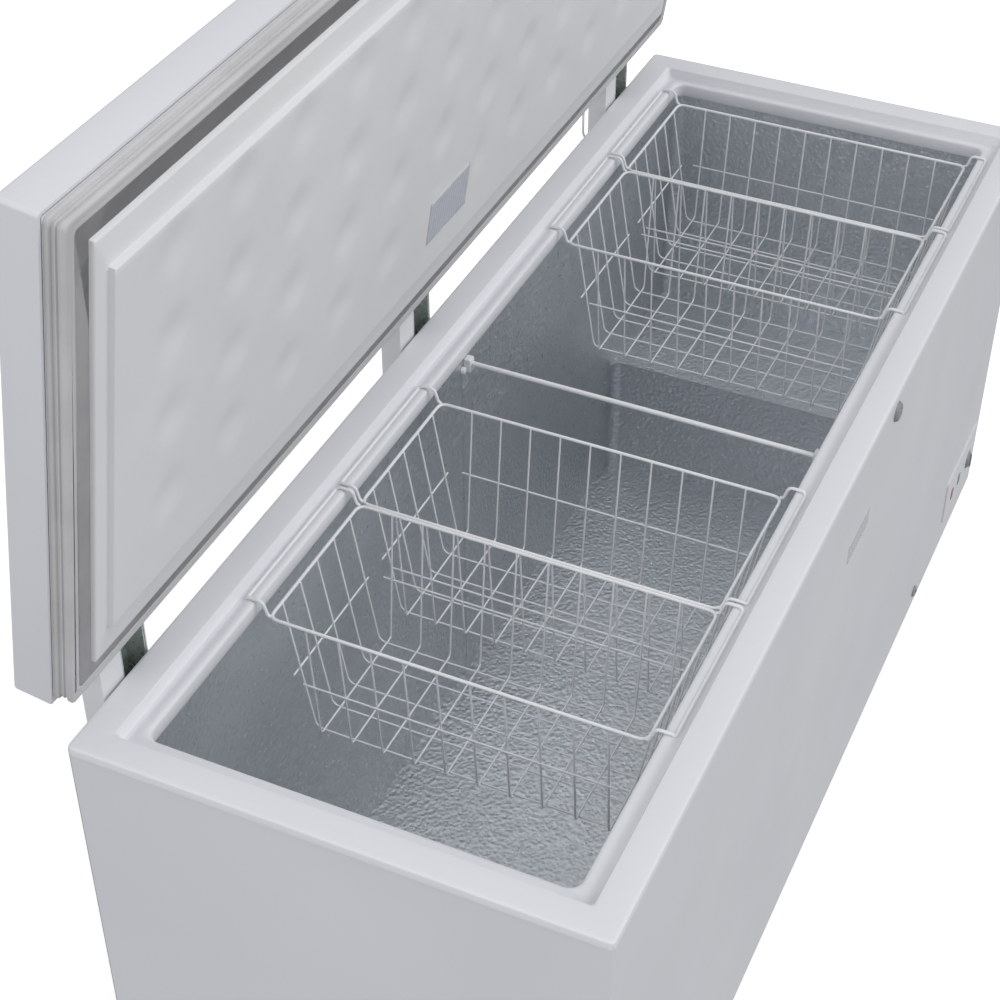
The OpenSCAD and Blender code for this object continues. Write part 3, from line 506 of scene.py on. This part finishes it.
def makeTieRod():
    bm = bmesh.new()
    curve = newCurve("rodCurve", tieRod["thick"], 5)
    z = tieRod["z"]
    end = tieRod["half"] - 0.005
    route = [(0.010, end, z - 0.001), (0.0, end, z), (0.0, -end, z), (0.010, -end, z - 0.001)]
    addWire(curve, wirePoints(route, 0.007))
    curveIntoMesh(bm, curve)
    finishPiece("tieRodBar", bm, "cabinet", "wireCoat", ["tie_rod"], recalc=False)
    clips = bmesh.new()
    for side in (-1, 1):
        near = side * tieRod["clipY"][0]
        far = side * tieRod["clipY"][1]
        low = (-tieRod["clipHalf"], min(near, far), tieRod["clipZ"][0])
        high = (tieRod["clipHalf"], max(near, far), tieRod["clipZ"][1])
        addBlock(clips, low, high, 0.003, 4)
        r = tieRod["screw"]
        outline = [(0.0, -0.003 * side), (r * 0.55, -0.0029 * side), (r * 0.9, -0.002 * side),
                   (r, -0.0006 * side), (r, 0.004 * side), (0.0, 0.004 * side)]
        x, y, z = tieRod["screwSpot"]
        turned(clips, outline, (x, side * y, z), 24)
    finishPiece("rodClips", clips, "cabinet", "whitePlastic", ["tie_rod_clips"])


makeTieRod()
print("stage: collar, seams and tie rod")

# Hanging baskets. Sizes are to wire centres, measured from each basket's own middle.
basket = {
    "centres": {"basket_1": (-0.5206, "basket_one"), "basket_2": (-0.2572, "basket_two"),
                "basket_3": (0.4874, "basket_three"), "basket_4": (0.7508, "basket_four")},
    "rim": (0.1290, 0.2690, 0.7947), "floor": (0.1071, 0.2290, 0.5752), "rimWire": 0.0050,
    "thinWire": 0.0030, "spacing": 0.048, "hanger": (0.3036, 0.8150), "over": 0.8188,
    "drop": 0.2785, "hangerInset": 0.0020, "middle": 0.6798, "spare": 0.0145,
    "acrossCount": 10, "lengthCount": 5, "weldIn": 0.0023,
}


def basketWires(thick, thin, cx):
    rx, ry, rz = basket["rim"]
    fx, fy, fz = basket["floor"]
    hy, hz = basket["hanger"]
    addWire(thick, wirePoints([(cx - rx, -ry, rz), (cx + rx, -ry, rz), (cx + rx, ry, rz),
                               (cx - rx, ry, rz)], 0.014, True), True)
    hx = rx - basket["hangerInset"]
    for side in (-1, 1):
        reach = [(cx - hx, side * (ry - 0.002), rz + 0.001),
                 (cx - hx, side * (ry + 0.003), rz + 0.003),
                 (cx - hx, side * basket["drop"], basket["over"]),
                 (cx - hx, side * (hy - 0.004), basket["over"]),
                 (cx - hx + 0.002, side * hy, hz)]
        back = [(2 * cx - px, py, pz) for px, py, pz in reversed(reach)]
        addWire(thick, wirePoints(reach + back, 0.007))
    step = basket["spacing"]
    weldIn = basket["weldIn"]
    acrossMiddle = (basket["acrossCount"] - 1) / 2
    lengthMiddle = (basket["lengthCount"] - 1) / 2
    high = fz + basket["thinWire"] * 0.9
    for i in range(basket["acrossCount"]):
        y = (i - acrossMiddle) * step
        route = [(cx - rx + weldIn, y, rz - 0.001), (cx - fx, y, high), (cx + fx, y, high),
                 (cx + rx - weldIn, y, rz - 0.001)]
        addWire(thin, wirePoints(route, 0.007))
    for i in range(basket["lengthCount"]):
        x = cx + (i - lengthMiddle) * step
        route = [(x, -ry + weldIn, rz - 0.001), (x, -fy, fz), (x, fy, fz),
                 (x, ry - weldIn, rz - 0.001)]
        addWire(thin, wirePoints(route, 0.013))
    mz = basket["middle"]
    part = (mz - fz) / (rz - fz)
    mx = fx + (rx - fx) * part + basket["thinWire"] * 0.8
    my = fy + (ry - fy) * part + basket["thinWire"] * 0.8
    longHalf = acrossMiddle * step + basket["spare"]
    shortHalf = lengthMiddle * step + basket["spare"]
    for side in (-1, 1):
        x = cx + side * mx
        addWire(thin, [Vector((x, -longHalf, mz)), Vector((x, longHalf, mz))])
        addWire(thin, [Vector((cx - shortHalf, side * my, mz)),
                       Vector((cx + shortHalf, side * my, mz))])


def makeBasket(node):
    cx, body = basket["centres"][node]
    thick = newCurve("thick", basket["rimWire"], 3)
    thin = newCurve("thin", basket["thinWire"], 2)
    basketWires(thick, thin, cx)
    bm = bmesh.new()
    curveIntoMesh(bm, thick)
    curveIntoMesh(bm, thin)
    finishPiece("wire_" + node, bm, body, "wireCoat", [node], 60, False)


for basketNode in basket["centres"]:
    makeBasket(basketNode)
print("stage: baskets")

# Everything on the lid is shaped with the lid shut and then turned up about the hinge pins.
lid = {"pin": (0.0, 0.386, 0.867), "angle": 81.74, "half": (0.984, 0.360), "centreY": -0.003,
       "under": 0.856, "top": 0.909}
pinSpot = Matrix.Translation(lid["pin"])
lidOpen = pinSpot @ Matrix.Rotation(math.radians(-lid["angle"]), 4, "X") @ pinSpot.inverted()


def makeLidShell():
    bm = bmesh.new()
    x, y = lid["half"]
    low = lid["under"]
    top = lid["top"]
    rings = [
        (x - 0.0045, y - 0.0045, 0.004, low + 0.0012),
        (x - 0.0045, y - 0.0045, 0.004, low),
        (x - 0.0012, y - 0.0012, 0.005, low),
        (x - 0.0003, y - 0.0003, 0.006, low + 0.0004),
        (x, y, 0.006, low + 0.0016),
        (x, y, 0.006, top - 0.0045),
        (x - 0.0004, y - 0.0004, 0.006, top - 0.0026),
        (x - 0.0016, y - 0.0016, 0.006, top - 0.0010),
        (x - 0.0036, y - 0.0036, 0.006, top - 0.0002),
        (x - 0.0060, y - 0.0060, 0.006, top),
    ]
    loops = ringStack(bm, rings, lid["centreY"], False, 5)
    bmesh.ops.contextual_create(bm, geom=loops[-1])
    bmesh.ops.contextual_create(bm, geom=loops[0])
    bm.transform(lidOpen)
    finishPiece("lidShell", bm, "lid", "whiteSteel", ["lid_outer_panel"])


makeLidShell()

# Formed inner face of the lid: dimpled middle panel, a ledge round it, and corner tabs.
lidFace = {
    "panel": (0.9080, 0.2630), "panelZ": 0.815, "ledgeZ": 0.824, "flangeZ": 0.8555,
    "pitch": (0.144, 0.1215), "firstX": -0.792, "rowsY": (0.138, 0.0165, -0.105, -0.2265),
    "dimple": 0.047, "depth": 0.0042, "lampHole": (-0.0225, 0.168, 0.0655, 0.0375),
    "tabZ": 0.8325, "tabs": ((0.224, 0.320), (-0.340, -0.301)), "tabX": (0.9345, 0.9582),
}


def growEdge(bm, edges, size, half, height, centreY):
    grown = bmesh.ops.extrude_edge_only(bm, edges=edges)["geom"]
    verts = [g for g in grown if isinstance(g, bmesh.types.BMVert)]
    for vert in verts:
        vert.co.z = height
    bmesh.ops.translate(bm, vec=(0, -centreY, 0), verts=verts)
    bmesh.ops.scale(bm, vec=(half[0] / size[0], half[1] / size[1], 1), verts=verts)
    bmesh.ops.translate(bm, vec=(0, centreY, 0), verts=verts)
    return [g for g in grown if isinstance(g, bmesh.types.BMEdge) and g.is_boundary]


def sinkDimples(bm):
    spots = []
    for row, y in enumerate(lidFace["rowsY"]):
        for column in range(12):
            spots.append((lidFace["firstX"] + column * lidFace["pitch"][0], y))
    reach = lidFace["dimple"]
    lampX, lampY, lampHalfX, lampHalfY = lidFace["lampHole"]
    for vert in bm.verts:
        if abs(vert.co.x - lampX) < lampHalfX + 0.02 and abs(vert.co.y - lampY) < lampHalfY + 0.02:
            continue
        for x, y in spots:
            away = math.hypot(vert.co.x - x, vert.co.y - y)
            if away < reach:
                vert.co.z += lidFace["depth"] * math.cos(away / reach * math.pi / 2) ** 2


def makeLidFace():
    bm = bmesh.new()
    centre = lid["centreY"]
    half = lidFace["panel"]
    made = bmesh.ops.create_grid(bm, x_segments=227, y_segments=66, size=1.0)["verts"]
    bmesh.ops.scale(bm, vec=(half[0], half[1], 1), verts=made)
    bmesh.ops.translate(bm, vec=(0, centre, lidFace["panelZ"]), verts=made)
    sinkDimples(bm)
    x, y, hx, hy = lidFace["lampHole"]
    hole = [f for f in bm.faces
            if abs(f.calc_center_median().x - x) < hx and abs(f.calc_center_median().y - y) < hy]
    bmesh.ops.delete(bm, geom=hole, context="FACES")
    outer = [e for e in bm.edges if e.is_boundary and (
        abs(e.verts[0].co.x) > half[0] - 0.001 or abs(e.verts[0].co.y - centre) > half[1] - 0.001)]
    steps = [
        (0.9092, 0.2642, 0.8154), (0.9100, 0.2650, 0.8166), (0.9106, 0.2656, 0.8222),
        (0.9114, 0.2664, 0.8234), (0.9130, 0.2680, lidFace["ledgeZ"]),
        (0.9310, 0.3070, lidFace["ledgeZ"]), (0.9330, 0.3090, 0.8246),
        (0.9342, 0.3102, 0.8262), (0.9348, 0.3108, 0.8290), (0.9360, 0.3120, 0.8520),
        (0.9374, 0.3134, 0.8546), (0.9400, 0.3160, lidFace["flangeZ"]),
        (0.9788, 0.3548, lidFace["flangeZ"]),
    ]
    size = half
    for sx, sy, z in steps:
        outer = growEdge(bm, outer, size, (sx, sy), z, centre)
        size = (sx, sy)
    addTabs(bm)
    bm.transform(lidOpen)
    bmesh.ops.recalc_face_normals(bm, faces=bm.faces[:])
    outward = lidOpen.to_3x3() @ Vector((0, 0, -1))
    panelFace = max(bm.faces, key=lambda f: f.calc_center_median().dot(outward))
    if panelFace.normal.dot(outward) < 0:
        bmesh.ops.reverse_faces(bm, faces=bm.faces[:])
    finishPiece("lidInnerFace", bm, "lid", "lidPlastic", ["lid_liner"], 50, False)


def addTabs(bm):
    for side in (-1, 1):
        for low, high in lidFace["tabs"]:
            inner = side * lidFace["tabX"][0]
            outer = side * lidFace["tabX"][1]
            addBlock(bm, (min(inner, outer), low, lidFace["tabZ"]),
                     (max(inner, outer), high, lidFace["flangeZ"] + 0.0002), 0.004, 3)


makeLidFace()

# Foam filling behind the formed face, kept just clear of the dimples.
def makeLidCore():
    bm = bmesh.new()
    rings = [
        (0.9050, 0.2600, 0.004, 0.8206), (0.9068, 0.2618, 0.005, 0.8222),
        (0.9068, 0.2618, 0.005, 0.8270), (0.9312, 0.3072, 0.005, 0.8270),
        (0.9312, 0.3072, 0.005, 0.8578), (0.9822, 0.3582, 0.005, 0.8578),
        (0.9822, 0.3582, 0.005, 0.9070), (0.9800, 0.3560, 0.005, 0.9076),
    ]
    loops = ringStack(bm, rings, lid["centreY"], False, 3)
    bmesh.ops.contextual_create(bm, geom=loops[-1])
    bmesh.ops.contextual_create(bm, geom=loops[0])
    bm.transform(lidOpen)
    finishPiece("lidCore", bm, "lid", "yellowFoam", ["lid_foam"])


makeLidCore()

# Rubber seal: ribbed base in its track, two folds, and the magnet bulb on the outside.
seal = {"half": (0.984, 0.360), "base": 0.8554}


def makeSeal():
    bm = bmesh.new()
    x, y = seal["half"]
    base = seal["base"]
    outline = [
        (0.0068, base), (0.0066, 0.8510), (0.0075, 0.8496), (0.0106, 0.8488),
        (0.0112, 0.8462), (0.0092, 0.8446), (0.0092, 0.8434), (0.0112, 0.8420),
        (0.0112, 0.8398), (0.0088, 0.8386), (0.0080, 0.8368), (0.0080, 0.8326),
        (0.0090, 0.8310), (0.0110, 0.8303), (0.0150, 0.8310), (0.0182, 0.8310),
        (0.0222, 0.8303), (0.0242, 0.8311), (0.0250, 0.8328), (0.0250, 0.8366),
        (0.0240, 0.8384), (0.0208, 0.8396), (0.0208, 0.8420), (0.0226, 0.8434),
        (0.0226, 0.8446), (0.0208, 0.8460), (0.0212, 0.8486), (0.0242, 0.8496),
        (0.0250, 0.8510), (0.0248, base),
    ]
    rings = [(x - inset, y - inset, 0.008, z) for inset, z in outline]
    ringStack(bm, rings, lid["centreY"], True, 4)
    bm.transform(lidOpen)
    finishPiece("doorSeal", bm, "lid", "gasketRubber", ["lid_gasket"], 55)


makeSeal()
print("stage: lid shell, inner face and seal")

# Lamp: clear ribbed cover standing in its recess, with a small bulb behind it.
lamp = {"x": -0.0225, "y": 0.168, "half": (0.0638, 0.0358), "face": 0.8126, "back": 0.8205,
        "ribs": 15, "rib": 0.0011}


def makeLamp():
    bm = bmesh.new()
    hx, hy = lamp["half"]
    made = bmesh.ops.create_grid(bm, x_segments=lamp["ribs"] * 6, y_segments=8, size=1.0)["verts"]
    bmesh.ops.scale(bm, vec=(hx - 0.002, hy - 0.002, 1), verts=made)
    bmesh.ops.translate(bm, vec=(0, 0, lamp["face"]), verts=made)
    for vert in made:
        across = vert.co.x / (hx - 0.002)
        inside = min(1.0, (1 - abs(vert.co.y) / (hy - 0.002)) * 5, (1 - abs(across)) * 9)
        wave = 0.5 + 0.5 * math.cos(across * lamp["ribs"] * math.pi)
        vert.co.z += lamp["rib"] * wave * max(inside, 0)
    outer = [e for e in bm.edges if e.is_boundary]
    outer = growEdge(bm, outer, (hx - 0.002, hy - 0.002), (hx - 0.0006, hy - 0.0006),
                     lamp["face"] + 0.0005, 0)
    outer = growEdge(bm, outer, (hx - 0.0006, hy - 0.0006), (hx, hy), lamp["face"] + 0.002, 0)
    outer = growEdge(bm, outer, (hx, hy), (hx, hy), lamp["back"], 0)
    outer = growEdge(bm, outer, (hx, hy), (hx - 0.002, hy - 0.002), lamp["back"], 0)
    growEdge(bm, outer, (hx - 0.002, hy - 0.002), (hx - 0.0022, hy - 0.0022),
             lamp["face"] + 0.003, 0)
    bmesh.ops.translate(bm, vec=(lamp["x"], lamp["y"], 0), verts=bm.verts[:])
    inner = [e for e in bm.edges if e.is_boundary]
    bmesh.ops.contextual_create(bm, geom=inner)
    bm.transform(lidOpen)
    finishPiece("lampCover", bm, "lid", "clearLens", ["lamp_lens"])
    bulb = bmesh.new()
    outline = [(0.0, -0.026), (0.004, -0.026), (0.005, -0.022), (0.0052, -0.018),
               (0.0075, -0.014), (0.0085, -0.004), (0.0085, 0.006), (0.0075, 0.014),
               (0.0052, 0.020), (0.0025, 0.0235), (0.0, 0.0245)]
    turned(bulb, outline, (0, 0, 0), 24)
    bulb.transform(Matrix.Translation((lamp["x"], lamp["y"], 0.8292))
                   @ Matrix.Rotation(math.pi / 2, 4, "Z"))
    bulb.transform(lidOpen)
    finishPiece("lampBulb", bulb, "lid", "whitePlastic")


makeLamp()

# Pull handle on the lid's front edge: two posts and a rounded grip.
handle = {"half": 0.096, "post": 0.086, "front": -0.363, "gripY": (0.0338, 0.0222),
          "gripZ": (0.8625, 0.8935), "postHalf": 0.0098, "postOut": 0.0262,
          "postZ": (0.8665, 0.8895), "plugOut": 0.0342, "plugZ": 0.878}


def makeHandle():
    bm = bmesh.new()
    y = handle["front"]
    low, high = handle["gripZ"]
    far, near = handle["gripY"]
    addBlock(bm, (-handle["half"], y - far, low), (handle["half"], y - near, high), 0.0052, 5)
    low, high = handle["postZ"]
    wide = handle["postHalf"]
    for side in (-1, 1):
        x = side * handle["post"]
        addBlock(bm, (x - wide, y - handle["postOut"], low), (x + wide, y, high), 0.0035, 4)
        outline = [(0.0, -0.0006), (0.0042, -0.0006), (0.005, 0.0), (0.005, 0.0012),
                   (0.0, 0.0012)]
        turned(bm, outline, (x, y - handle["plugOut"], handle["plugZ"]), 24)
    bm.transform(lidOpen)
    finishPiece("pullHandle", bm, "lid", "whitePlastic", ["lid_handle"])


makeHandle()


# Coil springs on the three hinge pins.
spring = {"hinges": (-0.822, 0.0, 0.822), "coil": 0.0053, "wire": 0.0025, "turns": 9.5,
          "pitch": 0.00255}


def makeSprings():
    curve = newCurve("springCurve", spring["wire"], 3)
    pinX, pinY, pinZ = lid["pin"]
    for x in spring["hinges"]:
        points = []
        steps = int(spring["turns"] * 16)
        for i in range(steps + 1):
            turn = math.tau * i / 16
            along = (i / 16 - spring["turns"] / 2) * spring["pitch"]
            points.append(Vector((x + along, pinY + spring["coil"] * math.cos(turn),
                                  pinZ + spring["coil"] * math.sin(turn))))
        addWire(curve, points)
    bm = bmesh.new()
    curveIntoMesh(bm, curve)
    finishPiece("hingeCoils", bm, "cabinet", "brightSteel", ["hinge_springs"],
                60, False)


makeSprings()

# Lamp lead: out of the cabinet's back, up past the hinge line and into the lid.
lead = {"x": 0.700, "thick": 0.0046, "low": (0.3520, 0.790), "pin": (0.386, 0.867),
        "lidY": 0.3430, "bend": 0.014, "pace": 0.003}


def makeLead():
    x = lead["x"]
    lowY, lowZ = lead["low"]
    pinY, pinZ = lead["pin"]
    inLid = lidOpen @ Vector((x, lead["lidY"], pinZ))
    points = [(x, lowY, lowZ), (x, pinY, lowZ), (x, pinY, pinZ), tuple(inLid)]
    route = wirePoints(points, lead["bend"], False, 8)
    dense = []
    for first, second in zip(route, route[1:]):
        count = max(1, int((second - first).length / lead["pace"]))
        dense += [first.lerp(second, i / count) for i in range(count)]
    curve = newCurve("leadCurve", lead["thick"], 4)
    addWire(curve, dense + [route[-1]])
    bm = bmesh.new()
    curveIntoMesh(bm, curve)
    piece = finishPiece("lampLead", bm, None, "wireCoat", sharp=60, recalc=False)
    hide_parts("lamp_lead_lower", "lamp_lead_upper")
    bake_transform(piece)


makeLead()
print("stage: lamp, handle, springs and lead")

# Front controls: knob with its dial, key lock, and drain cap.
controls = {"knob": (0.913, 0.141), "lock": (0.150, 0.785), "drain": (0.567, 0.078),
            "face": -0.358}


def makeKnob():
    bm = bmesh.new()
    x, z = controls["knob"]
    y = controls["face"]
    outline = [(0.0, -0.0080), (0.0118, -0.0080), (0.0136, -0.0074), (0.0146, -0.0062),
               (0.0154, -0.0030), (0.0168, -0.0016), (0.0170, -0.0005), (0.0, -0.0005)]
    turned(bm, outline, (x, y, z), 64)
    addBlock(bm, (x - 0.0032, y - 0.0104, z - 0.0142), (x + 0.0032, y - 0.0072, z + 0.0142),
             0.0012, 3)
    finishPiece("dialKnob", bm, "knob", "greyPlastic", ["thermostat_knob"])
    marks = bmesh.new()
    for i in range(11):
        turn = math.radians(-135 + i * 27)
        mark = bmesh.new()
        addBlock(mark, (-0.0005, y - 0.0033, 0.0192), (0.0005, y - 0.0029, 0.0222 + 0.001 * (i % 2)))
        mark.transform(Matrix.Translation((x, 0, z)) @ Matrix.Rotation(turn, 4, "Y"))
        mesh = bpy.data.meshes.new("mark")
        mark.to_mesh(mesh)
        mark.free()
        marks.from_mesh(mesh)
        bpy.data.meshes.remove(mesh)
    finishPiece("dialMarks", marks, "cabinet", "greyPlastic")


def makeLock():
    x, z = controls["lock"]
    y = controls["face"]
    ring = bmesh.new()
    outline = [(0.0064, -0.0050), (0.0072, -0.0058), (0.0110, -0.0060), (0.0132, -0.0054),
               (0.0150, -0.0036), (0.0162, -0.0012), (0.0168, 0.0), (0.0085, 0.0),
               (0.0085, 0.0150), (0.0064, 0.0150), (0.0064, -0.0050)]
    turned(ring, outline, (x, y, z), 48)
    finishPiece("lockRing", ring, "cabinet", "greyPlastic", ["lock_housing"])
    barrel = bmesh.new()
    outline = [(0.0, -0.0064), (0.0048, -0.0064), (0.0057, -0.0060), (0.0060, -0.0052),
               (0.0060, 0.0140), (0.0, 0.0140)]
    turned(barrel, outline, (x, y, z), 40)
    finishPiece("lockCylinder", barrel, "lock", "brightSteel", ["lock_barrel"])
    slot = bmesh.new()
    addBlock(slot, (x - 0.0007, y - 0.00655, z - 0.0036), (x + 0.0007, y - 0.0062, z + 0.0036),
             0.0001, 2)
    finishPiece("keySlot", slot, "lock", "blackPlastic")


def makeDrainCap():
    x, z = controls["drain"]
    y = controls["face"]
    bm = bmesh.new()
    outline = [(0.0, -0.0036), (0.0050, -0.0036), (0.0058, -0.0040), (0.0086, -0.0040),
               (0.0100, -0.0034), (0.0108, -0.0020), (0.0110, -0.0005), (0.0049, -0.0004),
               (0.0049, 0.0125), (0.0, 0.0130)]
    turned(bm, outline, (x, y, z), 40)
    addBlock(bm, (x - 0.0046, y - 0.0062, z - 0.0010), (x + 0.0046, y - 0.0035, z + 0.0010),
             0.0006, 3)
    finishPiece("drainStopper", bm, "drain_plug", "greyPlastic", ["drain_cap"])


makeKnob()
makeLock()
makeDrainCap()

# Rollers under the machine end: hard rubber tyre on a dished hub.
roller = {"x": 0.900, "y": 0.290, "z": 0.0215}


def makeRoller(side, node, body):
    bm = bmesh.new()
    outline = [(0.0036, -0.0105), (0.0070, -0.0108), (0.0080, -0.0080), (0.0145, -0.0080),
               (0.0158, -0.0104), (0.0190, -0.0108), (0.0210, -0.0096), (0.0215, -0.0070),
               (0.0215, 0.0070), (0.0210, 0.0096), (0.0190, 0.0108), (0.0158, 0.0104),
               (0.0145, 0.0080), (0.0080, 0.0080), (0.0070, 0.0108), (0.0036, 0.0105),
               (0.0036, -0.0105)]
    turned(bm, outline, (roller["x"], side * roller["y"], roller["z"]), 56)
    finishPiece("wheel_" + body, bm, body, "blackPlastic", [node])


makeRoller(-1, "roller_wheel_front", "roller_front")
makeRoller(1, "roller_wheel_rear", "roller_rear")
print("stage: controls and rollers")

# Studio: a wide pale floor, an even pale surround and soft lamps in front, at the left and overhead.
studio = {"floor": (0.94, 0.94, 0.945), "floorSecond": (0.93, 0.93, 0.935), "floorGlow": 0.5,
          "floorHalf": 14.0, "floorDrop": 0.0004, "surround": 0.38,
          "lamps": (("frontSoft", (0.15, -0.82, 0.57), 1.35, 50),
                    ("leftSoft", (-0.94, 0.33, 0.24), 1.1, 60),
                    ("overheadSoft", (0.0, 0.1, 1.0), 0.5, 90))}


def makeFloor():
    bm = bmesh.new()
    made = bmesh.ops.create_grid(bm, x_segments=4, y_segments=4,
                                  size=studio["floorHalf"])["verts"]
    bmesh.ops.translate(bm, vec=(0, 0, -studio["floorDrop"]), verts=made)
    mesh = bpy.data.meshes.new("studioFloor")
    bm.to_mesh(mesh)
    bm.free()
    floor = bpy.data.objects.new("studioFloor", mesh)
    bpy.context.scene.collection.objects.link(floor)
    finish, tree, shader, place = startFinish("paleFloor")
    tone = addMix(tree, addRange(tree, addNoise(tree, place, 1.5), "Fac", 0, 1), "Result",
                  studio["floor"], studio["floorSecond"])
    tree.links.new(tone.outputs[2], shader.inputs["Base Color"])
    shader.inputs["Roughness"].default_value = 0.7
    shader.inputs["Emission Color"].default_value = (1, 1, 1, 1)
    shader.inputs["Emission Strength"].default_value = studio["floorGlow"]
    mesh.materials.append(finish)
    floor.visible_diffuse = False
    floor.visible_glossy = False


def makeLight(name, towards, strength, spread):
    data = bpy.data.lights.new(name, "SUN")
    data.energy = strength
    data.angle = math.radians(spread)
    light = bpy.data.objects.new(name, data)
    bpy.context.scene.collection.objects.link(light)
    light.rotation_euler = Vector(towards).to_track_quat("Z", "Y").to_euler()


def makeStudio():
    makeFloor()
    world = bpy.data.worlds.new("paleSurround")
    bpy.context.scene.world = world
    world.use_nodes = True
    background = world.node_tree.nodes["Background"]
    background.inputs["Color"].default_value = (0.985, 0.99, 1.0, 1)
    background.inputs["Strength"].default_value = studio["surround"]
    for name, towards, strength, spread in studio["lamps"]:
        makeLight(name, towards, strength, spread)
    bpy.context.scene.view_settings.view_transform = "Standard"
    bpy.context.scene.view_settings.look = "None"


makeStudio()
print("stage: studio")
